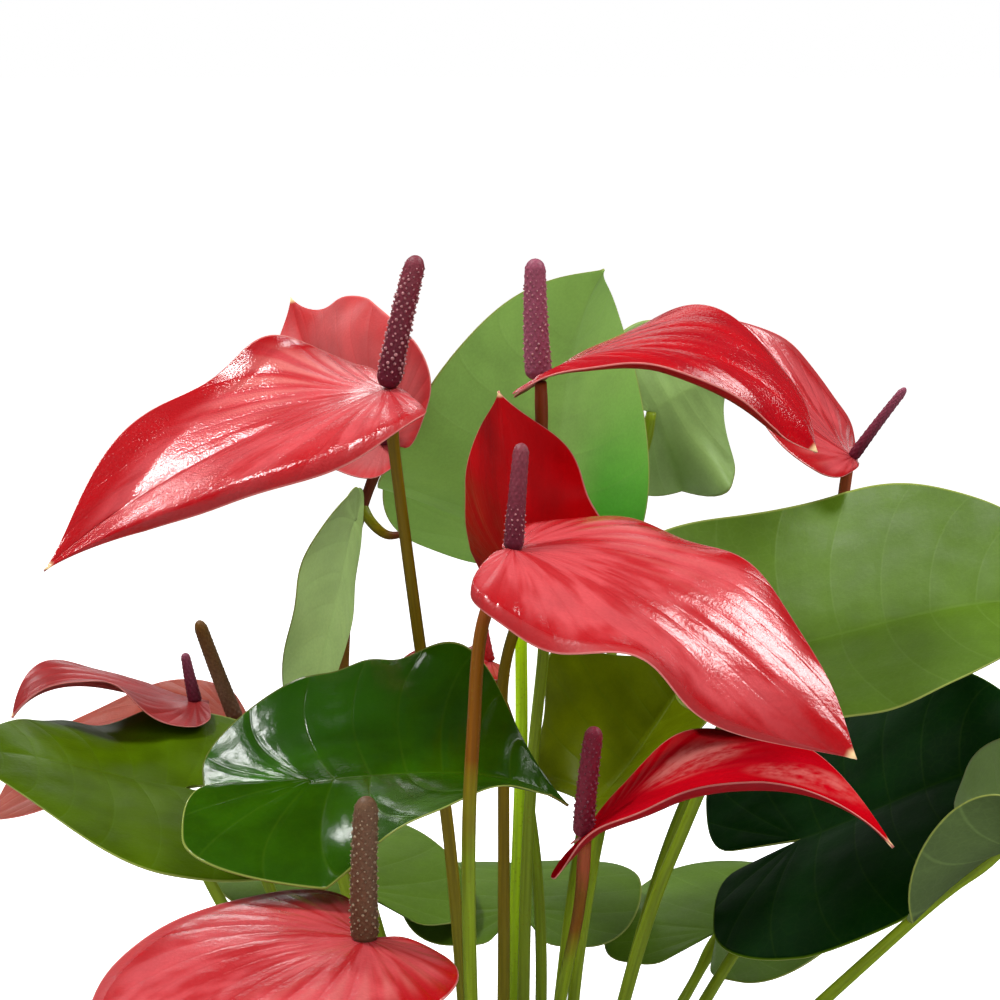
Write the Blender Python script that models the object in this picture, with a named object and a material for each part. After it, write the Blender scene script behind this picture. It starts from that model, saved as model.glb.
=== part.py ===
"""Potted anthurium: glossy red spathes with plum spadices over heart-shaped leaves, in a plain round pot.

Frame: +Z up, origin at the middle of the pot's flat underside, X to the right and Y to the back.
Driving dimensions are in millimetres and degrees; meshes are made in metres.
"""

import math
from dataclasses import dataclass

import bmesh
import bpy
import numpy as np

MM = 0.001

# Clearance between neighbouring pieces.
GAP = 0.3

# Pot and soil.
POT_HEIGHT = 112
POT_FOOT_RADIUS = 44
POT_RIM_RADIUS = 64
POT_BAND_HEIGHT = 16
POT_BAND_STEP = 2
POT_WALL = 3
POT_FLOOR = 4
POT_EDGE = 1.5
POT_LIP = 1
POT_SIDES = 36
SOIL_TOP = 100
SOIL_RELIEF = 1.6
SOIL_RINGS = 3
SOIL_WAVE_X = 0.21
SOIL_WAVE_Y = 0.17
SOIL_WAVE_START = 1.3
SOIL_LEVEL_RADIUS = 12

# Stems.
STEM_FOOT = 88
PEDUNCLE_FOOT_RADIUS = 1.9
PEDUNCLE_TOP_RADIUS = 1.5
PETIOLE_FOOT_RADIUS = 2.2
PETIOLE_TOP_RADIUS = 1.5
STEM_SIDES = 6
STEM_SPACING = 28
HOLE_SIDES = 8

# Blades and spadices.
BLADE_THICKNESS = 0.8
BLADE_ROWS = 13
FAN_ROWS = 4
BLADE_COLUMNS = 3
MIDRIB_STEPS = 40
WAVE_PLACES = (0.2, 0.5, 0.8)
WAVE_SPREAD = 0.14
SPADIX_SIDES = 10
SPADIX_RINGS = 13
SPADIX_END = 0.07
SPADIX_FOOT_RATIO = 0.45
FLORET_RELIEF = 0.22


@dataclass
class Blade:
    """A heart-shaped blade: its flat outline, and how it is bent about its midrib.

    Triples are the values at the junction, half way and at the tip. Left and right are as seen
    from the junction, looking to the tip with the upper face up. Slopes are the angle across a
    half, at the midrib and at the margin, and waves lift the margin at three places.
    """

    at: tuple
    length: float
    half_widths: tuple
    lobes: tuple
    heading: tuple
    pitch: tuple
    roll: tuple
    widest: float = 0.25
    sinus: float = 0.25
    shoulder: float = 0.5
    acumen: float = 0.25
    lobe_lift: tuple = (0, 0)
    left_slope: tuple = (5, 5, 5)
    left_edge: tuple = (0, 0, 0)
    right_slope: tuple = (5, 5, 5)
    right_edge: tuple = (0, 0, 0)
    left_wave: tuple = (0, 0, 0)
    right_wave: tuple = (0, 0, 0)


@dataclass
class Flower:
    """A spathe's blade, the spadix on it, and the route of the stalk that carries both."""

    blade: Blade
    spadix_tip: tuple
    spadix_radii: tuple
    soil: tuple
    route: tuple
    colour: str = "spathe_red"
    spadix_colour: str = "spadix_plum"


@dataclass
class Leaf:
    """A leaf's blade and the route of its stalk."""

    blade: Blade
    soil: tuple
    route: tuple
    colour: str = "leaf_green"


FLOWERS = {
    # Upper left, drooping to the left.
    "a": Flower(
        blade=Blade(
            at=(-29, -30, 365),
            length=100,
            half_widths=(33, 39),
            lobes=(4, 4),
            widest=0.25,
            sinus=0.09,
            shoulder=0.5,
            acumen=0.3,
            heading=(-163, -163, -149),
            pitch=(-15, -25, -37),
            roll=(-4, -19, -15),
            lobe_lift=(-12, -12),
            left_slope=(-9, 18, -5),
            left_edge=(7, -8, -3),
            right_slope=(-9, 12, 15),
            right_edge=(10, -12, 43),
            left_wave=(-2, 2, 3),
            right_wave=(11, 0, -3),
        ),
        spadix_tip=(-21, -33, 399),
        spadix_radii=(3.2, 2.6),
        soil=(-5, -8),
        route=((-9, -13, 175), (-14, -18, 242), (-21, -25, 294), (-27, -30, 345)),
    ),
    # Behind the first, cupped upwards.
    "b": Flower(
        blade=Blade(
            at=(-34, 60, 337),
            length=77,
            half_widths=(20, 36),
            lobes=(11, 12),
            widest=0.33,
            sinus=0.13,
            shoulder=0.63,
            acumen=0.24,
            heading=(132, 116, 122),
            pitch=(19, 24, 68),
            roll=(-52, -60, -38),
            lobe_lift=(-2, -3),
            left_slope=(23, 32, 6),
            left_edge=(33, 8, 5),
            right_slope=(31, 49, 0),
            right_edge=(37, -17, 17),
            left_wave=(1, 0, 1),
            right_wave=(-4, -2, 7),
        ),
        spadix_tip=(-30, 30, 366),
        spadix_radii=(2.5, 1.8),
        soil=(-16, 12),
        route=((-38, 30, 175), (-46, 44, 240), (-45, 52, 294), (-41, 56, 316)),
    ),
    # Upper right, arched over and down.
    "c": Flower(
        blade=Blade(
            at=(10, -30, 367),
            length=83,
            half_widths=(34, 40),
            lobes=(9, 6),
            widest=0.31,
            sinus=0.15,
            shoulder=0.49,
            acumen=0.1,
            heading=(-2, -6, -12),
            pitch=(28, -12, -67),
            roll=(7, 9, 18),
            lobe_lift=(-5, -6),
            left_slope=(-17, 13, -13),
            left_edge=(-8, -11, 24),
            right_slope=(16, 10, -33),
            right_edge=(9, -5, 7),
            left_wave=(-3, 5, -7),
            right_wave=(-2, -1, 3),
        ),
        spadix_tip=(9, -30, 398),
        spadix_radii=(3.5, 2.6),
        soil=(6, 4),
        route=((7, 10, 200), (9, 10, 251), (12, 0, 289), (12, -12, 318), (11, -25, 350)),
    ),
    # Young and upright, cupped round its spadix.
    "d": Flower(
        blade=Blade(
            at=(8, -35, 314),
            length=54,
            half_widths=(25, 28),
            lobes=(14, 19),
            widest=0.28,
            sinus=0.2,
            shoulder=0.57,
            acumen=0.21,
            heading=(-127, -129, -129),
            pitch=(56, 81, 72),
            roll=(4, 1, -1),
            lobe_lift=(0, -6),
            left_slope=(15, 16, 23),
            left_edge=(33, 22, 21),
            right_slope=(14, 18, 21),
            right_edge=(34, 36, 22),
            left_wave=(-3, -4, 8),
            right_wave=(-1, -1, 1),
        ),
        spadix_tip=(11, -28, 340),
        spadix_radii=(2.1, 1.5),
        soil=(0, -3),
        route=((1, 1, 190), (1, -4, 250), (1, -20, 286)),
    ),
    # At the front in the middle, sloping down to the right.
    "e": Flower(
        blade=Blade(
            at=(3, -107, 337),
            length=93,
            half_widths=(37, 36),
            lobes=(5, 4),
            widest=0.25,
            sinus=0.2,
            shoulder=0.37,
            acumen=0.16,
            heading=(-17, -19, -21),
            pitch=(0, -31, -41),
            roll=(21, 26, 36),
            lobe_lift=(-12, 12),
            left_slope=(-8, 1, 5),
            left_edge=(-32, -41, -16),
            right_slope=(13, 2, -29),
            right_edge=(8, 7, -19),
            left_wave=(5, 8, -8),
            right_wave=(-4, 13, -2),
        ),
        spadix_tip=(5, -100, 361),
        spadix_radii=(2.3, 1.8),
        soil=(-3, -17),
        route=((-6, -74, 180), (-7, -120, 245), (-7, -131, 277), (-6, -125, 299), (-4, -113, 321)),
    ),
    # Behind on the right, facing back to the left.
    "f": Flower(
        blade=Blade(
            at=(104, 60, 332),
            length=59,
            half_widths=(34, 29),
            lobes=(4, 1),
            widest=0.23,
            sinus=0.09,
            shoulder=0.5,
            acumen=0.1,
            heading=(156, 147, 141),
            pitch=(39, 41, 47),
            roll=(8, 6, 2),
            lobe_lift=(4, -12),
            left_slope=(-6, 2, 5),
            left_edge=(-13, -2, 1),
            right_slope=(-3, 13, 42),
            right_edge=(-16, 2, -15),
            left_wave=(-1, 0, 0),
            right_wave=(2, 0, 5),
        ),
        spadix_tip=(118, 52, 354),
        spadix_radii=(1.8, 1.2),
        soil=(18, 13),
        route=((48, 38, 215), (78, 52, 275), (98, 58, 308)),
    ),
    # Small, at the left.
    "g": Flower(
        blade=Blade(
            at=(-85, 8, 271),
            length=54,
            half_widths=(21, 20),
            lobes=(4, 4),
            widest=0.3,
            sinus=0.24,
            shoulder=0.63,
            acumen=0.1,
            heading=(-172, -166, -154),
            pitch=(0, 12, -57),
            roll=(8, 0, 9),
            lobe_lift=(12, -12),
            left_slope=(-21, 22, 7),
            left_edge=(-9, -5, 4),
            right_slope=(6, 16, 15),
            right_edge=(-12, -9, 29),
            left_wave=(-1, 3, 1),
            right_wave=(0, -1, 6),
        ),
        spadix_tip=(-88, 10, 285),
        spadix_radii=(2.0, 1.2),
        soil=(-20, 2),
        route=((-56, 4, 195), (-77, 7, 250)),
    ),
    # Pale red, behind the small one.
    "h": Flower(
        blade=Blade(
            at=(-77, 40, 257),
            length=78,
            half_widths=(23, 34),
            lobes=(4, 5),
            widest=0.31,
            sinus=0.13,
            shoulder=0.6,
            acumen=0.16,
            heading=(-159, -165, -149),
            pitch=(-6, -20, -17),
            roll=(-3, -8, -11),
            lobe_lift=(12, -12),
            left_slope=(9, 20, -9),
            left_edge=(17, 0, 5),
            right_slope=(11, 18, -5),
            right_edge=(5, -4, 20),
            left_wave=(0, 0, 2),
            right_wave=(1, -1, 1),
        ),
        spadix_tip=(-88, 42, 287),
        spadix_radii=(2.4, 1.9),
        soil=(-13, 3),
        route=((-45, 20, 195), (-69, 37, 240)),
        colour="spathe_pale",
        spadix_colour="spadix_olive",
    ),
    # Low at the right, arched over and down.
    "i": Flower(
        blade=Blade(
            at=(21, -60, 254),
            length=90,
            half_widths=(38, 27),
            lobes=(7, 4),
            widest=0.2,
            sinus=0.08,
            shoulder=0.44,
            acumen=0.36,
            heading=(-27, -27, -23),
            pitch=(37, 11, -47),
            roll=(10, -3, 1),
            lobe_lift=(0, -12),
            left_slope=(-11, 17, 19),
            left_edge=(12, 10, -8),
            right_slope=(6, 1, 20),
            right_edge=(-13, -16, 11),
            left_wave=(3, -4, 0),
            right_wave=(4, 3, 5),
        ),
        spadix_tip=(24, -57, 282),
        spadix_radii=(2.7, 2.3),
        soil=(7, -17),
        route=((14, -42, 190), (20, -57, 232)),
    ),
    # Lowest, at the front on the left.
    "j": Flower(
        blade=Blade(
            at=(-30, -140, 255),
            length=84,
            half_widths=(35, 34),
            lobes=(8, 8),
            widest=0.27,
            sinus=0.2,
            shoulder=0.52,
            acumen=0.25,
            heading=(-140, -135, -130),
            pitch=(5, -12, -40),
            roll=(-6, -6, -6),
            lobe_lift=(12, 12),
            left_slope=(6, 4, 4),
            left_edge=(-6, -8, 0),
            right_slope=(6, 4, 4),
            right_edge=(-6, -8, 0),
            left_wave=(0, 1, 0),
            right_wave=(0, -1, 0),
        ),
        spadix_tip=(-29, -145, 290),
        spadix_radii=(3.1, 2.6),
        soil=(-10, -24),
        route=((-20, -85, 180), (-28, -128, 225)),
        spadix_colour="spadix_brown",
    ),
    # Small and young, half hidden behind the front leaf.
    "k": Flower(
        blade=Blade(
            at=(-3, 44, 274),
            length=39,
            half_widths=(12, 11),
            lobes=(3, 3),
            widest=0.25,
            sinus=0.27,
            shoulder=0.5,
            acumen=0.35,
            heading=(-149, -146, -143),
            pitch=(12, -3, -25),
            roll=(-22, -18, -20),
            lobe_lift=(2, 0),
            left_slope=(7, 5, 5),
            left_edge=(2, 0, 0),
            right_slope=(6, 4, 4),
            right_edge=(1, 0, 0),
            right_wave=(-10, -1, 0),
        ),
        spadix_tip=(-8, 46, 287),
        spadix_radii=(1.6, 1.1),
        soil=(9, 12),
        route=((12, 24, 190), (7, 35, 242)),
    ),
}

LEAVES = {
    # Back leaf with its tip up.
    1: Leaf(
        blade=Blade(
            at=(9, 95, 299),
            length=95,
            half_widths=(38, 53),
            lobes=(39, 20),
            widest=0.33,
            sinus=0.24,
            shoulder=0.75,
            acumen=0.15,
            heading=(-50, -53, -38),
            pitch=(53, 78, 50),
            roll=(-20, 0, -4),
            lobe_lift=(1, 14),
            left_slope=(4, 11, 19),
            left_edge=(-5, 8, 6),
            right_slope=(20, 8, 42),
            right_edge=(20, 7, 8),
            left_wave=(-1, 0, 2),
            right_wave=(3, 0, -3),
        ),
        soil=(1, 16),
        route=((4, 19, 190), (6, 21, 250), (6, 24, 287), (6, 38, 308), (8, 68, 311)),
        colour="leaf_bright",
    ),
    # Grey-green leaf behind the upper right flower.
    2: Leaf(
        blade=Blade(
            at=(48, 125, 337),
            length=36,
            half_widths=(33, 27),
            lobes=(16, 13),
            widest=0.26,
            sinus=0.58,
            shoulder=0.56,
            acumen=0.54,
            heading=(14, 18, 24),
            pitch=(26, 22, -7),
            roll=(-71, -103, -61),
            lobe_lift=(-4, -8),
            left_slope=(-13, 6, 20),
            left_edge=(8, -2, -4),
            right_slope=(22, 16, 6),
            right_edge=(9, 1, 20),
            left_wave=(-12, -3, 0),
        ),
        soil=(11, 21),
        route=((22, 70, 190), (38, 120, 270), (44, 127, 310)),
        colour="leaf_grey",
    ),
    # Pale leaf hanging behind the upper left flower.
    3: Leaf(
        blade=Blade(
            at=(-43, 38, 317),
            length=73,
            half_widths=(12, 26),
            lobes=(12, 7),
            widest=0.17,
            sinus=0.36,
            shoulder=0.37,
            acumen=0.26,
            heading=(-107, -116, -122),
            pitch=(-62, -61, -80),
            roll=(-72, -65, -53),
            lobe_lift=(-3, 44),
            left_slope=(-16, -7, 6),
            left_edge=(-21, -10, 2),
            right_slope=(17, 19, -5),
            right_edge=(46, 5, 0),
            left_wave=(-2, -1, 0),
            right_wave=(1, 8, -2),
        ),
        soil=(-8, 18),
        route=((-36, 44, 190), (-53, 60, 250), (-52, 58, 290)),
        colour="leaf_pale",
    ),
    # Dark glossy leaf across the front.
    4: Leaf(
        blade=Blade(
            at=(-45, -88, 277),
            length=67,
            half_widths=(61, 45),
            lobes=(29, 32),
            widest=0.43,
            sinus=0.08,
            shoulder=0.7,
            acumen=0.6,
            heading=(8, 15, 26),
            pitch=(0, -6, -38),
            roll=(17, 3, 27),
            lobe_lift=(-27, 3),
            left_slope=(-9, 20, 14),
            left_edge=(0, 16, 28),
            right_slope=(-2, 12, 24),
            right_edge=(-3, 9, 13),
            left_wave=(-2, -6, 7),
            right_wave=(3, 4, 3),
        ),
        soil=(-14, -14),
        route=((-28, -50, 190), (-39, -78, 250)),
        colour="leaf_dark",
    ),
    # Left leaf, pointing outwards.
    5: Leaf(
        blade=Blade(
            at=(-83, -35, 259),
            length=68,
            half_widths=(52, 45),
            lobes=(28, 28),
            widest=0.21,
            sinus=0.22,
            shoulder=0.45,
            acumen=0.42,
            heading=(-159, -159, -164),
            pitch=(13, 18, -5),
            roll=(-16, -12, -18),
            lobe_lift=(-2, 8),
            left_slope=(12, 4, 1),
            left_edge=(-3, -6, -4),
            right_slope=(5, -1, 14),
            right_edge=(-4, -11, -6),
            left_wave=(0, 0, -2),
            right_wave=(-4, -3, 0),
        ),
        soil=(-24, -7),
        route=((-58, -22, 190), (-78, -33, 235)),
        colour="leaf_olive",
    ),
    # Shaded leaf behind the middle flower.
    6: Leaf(
        blade=Blade(
            at=(29, 30, 236),
            length=67,
            half_widths=(34, 30),
            lobes=(4, 14),
            widest=0.25,
            sinus=0.1,
            shoulder=0.53,
            acumen=0.4,
            heading=(46, 48, 48),
            pitch=(29, 39, 42),
            roll=(-16, -10, 7),
            lobe_lift=(8, 15),
            left_slope=(45, 68, 13),
            left_edge=(-22, 12, 4),
            right_slope=(9, 15, -21),
            right_edge=(10, -3, -21),
            left_wave=(-2, 15, 0),
            right_wave=(5, 3, 0),
        ),
        soil=(15, 3),
        route=((21, 14, 180), (27, 25, 218)),
        colour="leaf_olive",
    ),
    # Large right leaf.
    7: Leaf(
        blade=Blade(
            at=(74, -5, 289),
            length=94,
            half_widths=(55, 51),
            lobes=(38, 25),
            widest=0.27,
            sinus=0.34,
            shoulder=0.54,
            acumen=0.26,
            heading=(-8, -11, -7),
            pitch=(13, 14, -15),
            roll=(29, 17, 25),
            lobe_lift=(23, 9),
            left_slope=(-4, 15, 26),
            left_edge=(17, 20, -6),
            right_slope=(25, 8, 8),
            right_edge=(12, -4, 26),
            left_wave=(-1, 1, 9),
            right_wave=(2, 2, 0),
        ),
        soil=(14, -7),
        route=((38, -3, 200), (52, -2, 240), (68, -4, 278)),
    ),
    # Large dark leaf under it.
    8: Leaf(
        blade=Blade(
            at=(89, 40, 221),
            length=85,
            half_widths=(62, 55),
            lobes=(30, 28),
            widest=0.28,
            sinus=0.16,
            shoulder=0.55,
            acumen=0.29,
            heading=(-13, -13, -17),
            pitch=(22, 26, -1),
            roll=(27, 20, 32),
            lobe_lift=(1, -3),
            left_slope=(-4, 19, 27),
            left_edge=(-4, -10, -4),
            right_slope=(13, 9, -7),
            right_edge=(-4, -10, 11),
        ),
        soil=(24, 4),
        route=((50, 20, 160), (76, 34, 200)),
        colour="leaf_shade",
    ),
    # Leaf at the right corner.
    9: Leaf(
        blade=Blade(
            at=(130, -45, 247),
            length=82,
            half_widths=(34, 34),
            lobes=(35, 20),
            widest=0.31,
            sinus=0.31,
            shoulder=0.5,
            acumen=0.35,
            heading=(-70, -71, -93),
            pitch=(9, 7, -27),
            roll=(21, -11, 4),
            lobe_lift=(2, -23),
            left_slope=(10, 23, 17),
            left_edge=(78, 23, -7),
            right_slope=(-4, 33, 7),
            right_edge=(-18, 16, 22),
            right_wave=(0, 1, 0),
        ),
        soil=(23, -10),
        route=((60, -22, 165), (105, -38, 220)),
        colour="leaf_grey",
    ),
    # Low at the back on the left.
    10: Leaf(
        blade=Blade(
            at=(-45, 80, 192),
            length=92,
            half_widths=(44, 44),
            lobes=(24, 24),
            sinus=0.4,
            heading=(125, 130, 138),
            pitch=(20, -4, -42),
            roll=(4, 2, 0),
            left_edge=(-6, -8, -4),
            right_edge=(-6, -8, -4),
        ),
        soil=(-16, 24),
        route=((-25, 42, 145), (-38, 66, 174)),
    ),
    # Low at the back on the right.
    11: Leaf(
        blade=Blade(
            at=(70, 98, 172),
            length=88,
            half_widths=(42, 42),
            lobes=(24, 24),
            sinus=0.4,
            heading=(55, 50, 44),
            pitch=(18, -6, -44),
            roll=(-4, -2, 0),
            left_edge=(-6, -8, -4),
            right_edge=(-6, -8, -4),
        ),
        soil=(20, 24),
        route=((36, 46, 136), (58, 80, 156)),
    ),
    # Low at the left, over the rim.
    12: Leaf(
        blade=Blade(
            at=(-84, 10, 170),
            length=78,
            half_widths=(38, 38),
            lobes=(22, 22),
            sinus=0.4,
            heading=(172, 176, 182),
            pitch=(12, -14, -50),
            roll=(3, 0, 0),
            left_edge=(-6, -8, -4),
            right_edge=(-6, -8, -4),
        ),
        soil=(-30, 3),
        route=((-50, 6, 135), (-72, 9, 158)),
    ),
    # Low at the front on the right.
    13: Leaf(
        blade=Blade(
            at=(52, -72, 150),
            length=80,
            half_widths=(39, 39),
            lobes=(22, 22),
            sinus=0.4,
            heading=(-58, -54, -50),
            pitch=(12, -14, -50),
            roll=(-3, 0, 0),
            left_edge=(-6, -8, -4),
            right_edge=(-6, -8, -4),
        ),
        soil=(17, -20),
        route=((29, -38, 126), (45, -60, 141)),
    ),
    # Low at the back.
    14: Leaf(
        blade=Blade(
            at=(6, 96, 180),
            length=82,
            half_widths=(40, 40),
            lobes=(22, 22),
            sinus=0.4,
            heading=(88, 92, 97),
            pitch=(14, -12, -46),
            roll=(0, 0, 0),
            left_edge=(-6, -8, -4),
            right_edge=(-6, -8, -4),
        ),
        soil=(2, 28),
        route=((4, 50, 140), (6, 82, 168)),
    ),
}

SIDE_SHOOT = ((-41, 57, 319), (-38, 54, 314), (-33, 49, 311), (-27, 46, 312))
SIDE_SHOOT_RADII = (1.6, 1.4)

# Colour and roughness of each plain material.
COLOURS = {
    "spathe_red": ((0.42, 0.0, 0.012), 0.25),
    "spathe_pale": ((0.55, 0.12, 0.09), 0.45),
    "spadix_plum": ((0.08, 0.02, 0.05), 0.55),
    "spadix_olive": ((0.10, 0.06, 0.02), 0.6),
    "spadix_brown": ((0.12, 0.07, 0.05), 0.6),
    "peduncle_brown": ((0.16, 0.09, 0.02), 0.5),
    "shoot_maroon": ((0.08, 0.012, 0.01), 0.5),
    "petiole_green": ((0.14, 0.20, 0.03), 0.5),
    "leaf_green": ((0.10, 0.20, 0.05), 0.45),
    "leaf_bright": ((0.12, 0.28, 0.04), 0.5),
    "leaf_grey": ((0.10, 0.17, 0.08), 0.5),
    "leaf_pale": ((0.22, 0.34, 0.16), 0.5),
    "leaf_dark": ((0.012, 0.06, 0.006), 0.3),
    "leaf_olive": ((0.07, 0.11, 0.008), 0.4),
    "leaf_shade": ((0.01, 0.03, 0.004), 0.4),
    "pot_white": ((0.72, 0.70, 0.66), 0.5),
    "soil_brown": ((0.03, 0.018, 0.01), 0.95),
}


def clear_scene():
    """Remove every object, so that a second run starts empty."""
    for obj in list(bpy.data.objects):
        bpy.data.objects.remove(obj, do_unlink=True)


def material(name):
    """The plain Principled material of that name, made once."""
    found = bpy.data.materials.get(name)
    if found:
        return found
    colour, roughness = COLOURS[name]
    made = bpy.data.materials.new(name)
    made.use_nodes = True
    shader = made.node_tree.nodes["Principled BSDF"]
    shader.inputs["Base Color"].default_value = (*colour, 1)
    shader.inputs["Roughness"].default_value = roughness
    shader.inputs["Metallic"].default_value = 0
    made.diffuse_color = (*colour, 1)
    return made


def mesh_object(name, vertices, faces, colour):
    """An object from vertices in millimetres, welded, with its faces pointing out."""
    mesh = bpy.data.meshes.new(name)
    mesh.from_pydata([tuple(float(c) * MM for c in v) for v in vertices], [], faces)
    work = bmesh.new()
    work.from_mesh(mesh)
    bmesh.ops.remove_doubles(work, verts=work.verts, dist=1e-6)
    bmesh.ops.triangulate(work, faces=work.faces)
    bmesh.ops.recalc_face_normals(work, faces=work.faces)
    work.to_mesh(mesh)
    work.free()
    mesh.shade_smooth()
    obj = bpy.data.objects.new(name, mesh)
    bpy.context.scene.collection.objects.link(obj)
    mesh.materials.append(material(colour))
    return obj


def as_cutter(obj):
    """Keep the object out of the model: it only shapes another one."""
    obj.hide_render = True
    obj.display_type = "WIRE"
    return obj


def boolean(obj, other, operation):
    """A live Boolean with the EXACT solver."""
    modifier = obj.modifiers.new(operation.title(), "BOOLEAN")
    modifier.operation = operation
    modifier.solver = "EXACT"
    modifier.object = other


def at_fraction(triple, fraction):
    """The smooth value between those at the start, the middle and the end."""
    start, middle, end = triple
    rest = 1 - fraction
    return (
        start * rest * (1 - 2 * fraction)
        + middle * 4 * fraction * rest
        + end * fraction * (2 * fraction - 1)
    )


def bezier(start, pull_start, pull_end, end, count):
    """Points along one cubic arc."""
    t = np.linspace(0, 1, count)[:, None]
    ends = np.array([start, pull_start, pull_end, end], float)
    return (
        (1 - t) ** 3 * ends[0]
        + 3 * t * (1 - t) ** 2 * ends[1]
        + 3 * t**2 * (1 - t) * ends[2]
        + t**3 * ends[3]
    )


def evenly(points, count):
    """The same polyline with evenly spaced points."""
    steps = np.linalg.norm(np.diff(points, axis=0), axis=1)
    along = np.concatenate([[0], np.cumsum(steps)])
    wanted = np.linspace(0, along[-1], count)
    return np.stack([np.interp(wanted, along, column) for column in points.T], axis=-1)


def half_outline(blade, width, lobe):
    """The flat margin of one half: inner lobe corner, round lobe, widest place, tip.

    The bare factors are fractions of the lobe's length and the half's width that shape the arcs.
    """
    run = (1 - blade.widest) * blade.length
    widest = blade.widest * blade.length
    rear = (-lobe, 0.52 * width)
    wide = (widest, width)
    inner = (-0.72 * lobe, 0.45 * blade.sinus * width)
    turn = (-0.97 * lobe, (0.5 * blade.sinus + 0.02) * width)
    lobe_arc = bezier(inner, turn, (-lobe, 0.3 * width), rear, 9)
    shoulder_pull = (0.1 * widest - 0.35 * lobe, width)
    side_arc = bezier(rear, (-lobe, 0.8 * width), shoulder_pull, wide, 15)
    tip_pull = (blade.length - blade.acumen * run, 0.16 * width)
    tip_arc = bezier(wide, (widest + blade.shoulder * run, width), tip_pull, (blade.length, 0), 25)
    return np.vstack([lobe_arc, side_arc[1:], tip_arc[1:]])


def midrib_axes(blade, fraction):
    """Unit vectors along the midrib, to its left and out of the upper face."""
    heading = np.radians(at_fraction(blade.heading, fraction))
    pitch = np.radians(at_fraction(blade.pitch, fraction))
    roll = np.radians(at_fraction(blade.roll, fraction))[..., None]
    level = np.cos(pitch)
    along = np.stack([level * np.cos(heading), level * np.sin(heading), np.sin(pitch)], axis=-1)
    side = np.stack([-np.sin(heading), np.cos(heading), 0 * heading], axis=-1)
    upright = np.cross(along, side)
    left = side * np.cos(roll) + upright * np.sin(roll)
    face = upright * np.cos(roll) - side * np.sin(roll)
    return along, left, face


def midrib_points(blade):
    """The midrib's curve from the junction to the tip."""
    middles = (np.arange(MIDRIB_STEPS) + 0.5) / MIDRIB_STEPS
    along, _, _ = midrib_axes(blade, middles)
    steps = along * blade.length / MIDRIB_STEPS
    return np.vstack([[0, 0, 0], np.cumsum(steps, axis=0)]) + np.array(blade.at, float)


def bend(blade, x, y):
    """Carry flat places, x along the midrib and y to its left, to where the bent blade has them."""
    fraction = np.clip(x / blade.length, 0, 1)
    curve = midrib_points(blade)
    grid = np.linspace(0, 1, len(curve))
    centre = np.stack([np.interp(fraction, grid, column) for column in curve.T], axis=-1)
    along, left, face = midrib_axes(blade, fraction)
    on_left = y >= 0
    behind = np.minimum(x, 0)
    lift = np.radians(np.where(on_left, *blade.lobe_lift))
    centre = centre + along * (behind * np.cos(lift))[..., None]
    centre = centre - face * (behind * np.sin(lift))[..., None]
    width = np.where(on_left, *blade.half_widths)
    across = np.abs(y) / width
    slope = np.where(on_left, at_fraction(blade.left_slope, fraction), at_fraction(blade.right_slope, fraction))
    edge = np.where(on_left, at_fraction(blade.left_edge, fraction), at_fraction(blade.right_edge, fraction))
    slope = np.radians(slope)
    turn = np.radians(edge) - slope
    turn = np.where(np.abs(turn) < 1e-4, 1e-4, turn)
    reach = width * (np.sin(slope + turn * across) - np.sin(slope)) / turn
    rise = width * (np.cos(slope) - np.cos(slope + turn * across)) / turn
    wave = 0
    for place, on_one, on_other in zip(WAVE_PLACES, blade.left_wave, blade.right_wave):
        bump = np.exp(-(((fraction - place) / WAVE_SPREAD) ** 2))
        wave = wave + np.where(on_left, on_one, on_other) * bump
    rise = rise + wave * across**2
    return centre + left * (reach * np.where(on_left, 1, -1))[..., None] + face * rise[..., None]


def blade_half(blade, side):
    """The grid of points of one half, in rows from the midrib to the margin."""
    width, lobe = (blade.half_widths[0 if side > 0 else 1], blade.lobes[0 if side > 0 else 1])
    margin = evenly(half_outline(blade, width, lobe), BLADE_ROWS + 1)
    row = np.arange(BLADE_ROWS + 1)
    start = blade.length * np.clip((row - FAN_ROWS) / (BLADE_ROWS - FAN_ROWS), 0, 1)
    across = np.linspace(0, 1, BLADE_COLUMNS + 1)
    x = start[:, None] * (1 - across) + margin[:, :1] * across
    y = margin[:, 1:] * across
    return bend(blade, x, side * np.maximum(y, 1e-9))


def blade_surface(blade):
    """The vertices and triangles of the bent blade, without thickness."""
    vertices = []
    faces = []
    for side in (1, -1):
        grid = blade_half(blade, side)
        rows, columns = grid.shape[:2]
        first = len(vertices)
        vertices.extend(grid.reshape(-1, 3))
        for i in range(rows - 1):
            for j in range(columns - 1):
                a = first + i * columns + j
                b = a + columns
                corners = (a, b, b + 1, a + 1) if side > 0 else (a, a + 1, b + 1, b)
                faces.append(corners)
    return vertices, faces


def blade_object(name, blade, colour):
    """A blade of even thickness, closed round its margin."""
    vertices, faces = blade_surface(blade)
    obj = mesh_object(name, vertices, faces, colour)
    solid = obj.modifiers.new("Thickness", "SOLIDIFY")
    solid.thickness = BLADE_THICKNESS * MM
    solid.offset = 0
    return obj


def smooth_route(points):
    """A smooth curve through the route's points, with a point about every STEM_SPACING."""
    points = np.array(points, float)
    ends = np.vstack([2 * points[0] - points[1], points, 2 * points[-1] - points[-2]])
    curve = []
    for before, start, end, after in zip(ends, ends[1:], ends[2:], ends[3:]):
        t = np.linspace(0, 1, 12, endpoint=False)[:, None]
        curve.append(
            0.5
            * (
                2 * start
                + (end - before) * t
                + (2 * before - 5 * start + 4 * end - after) * t**2
                + (3 * start - before - 3 * end + after) * t**3
            )
        )
    curve = np.vstack([*curve, points[-1:]])
    length = np.linalg.norm(np.diff(curve, axis=0), axis=1).sum()
    return evenly(curve, max(3, round(length / STEM_SPACING) + 1))


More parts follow.
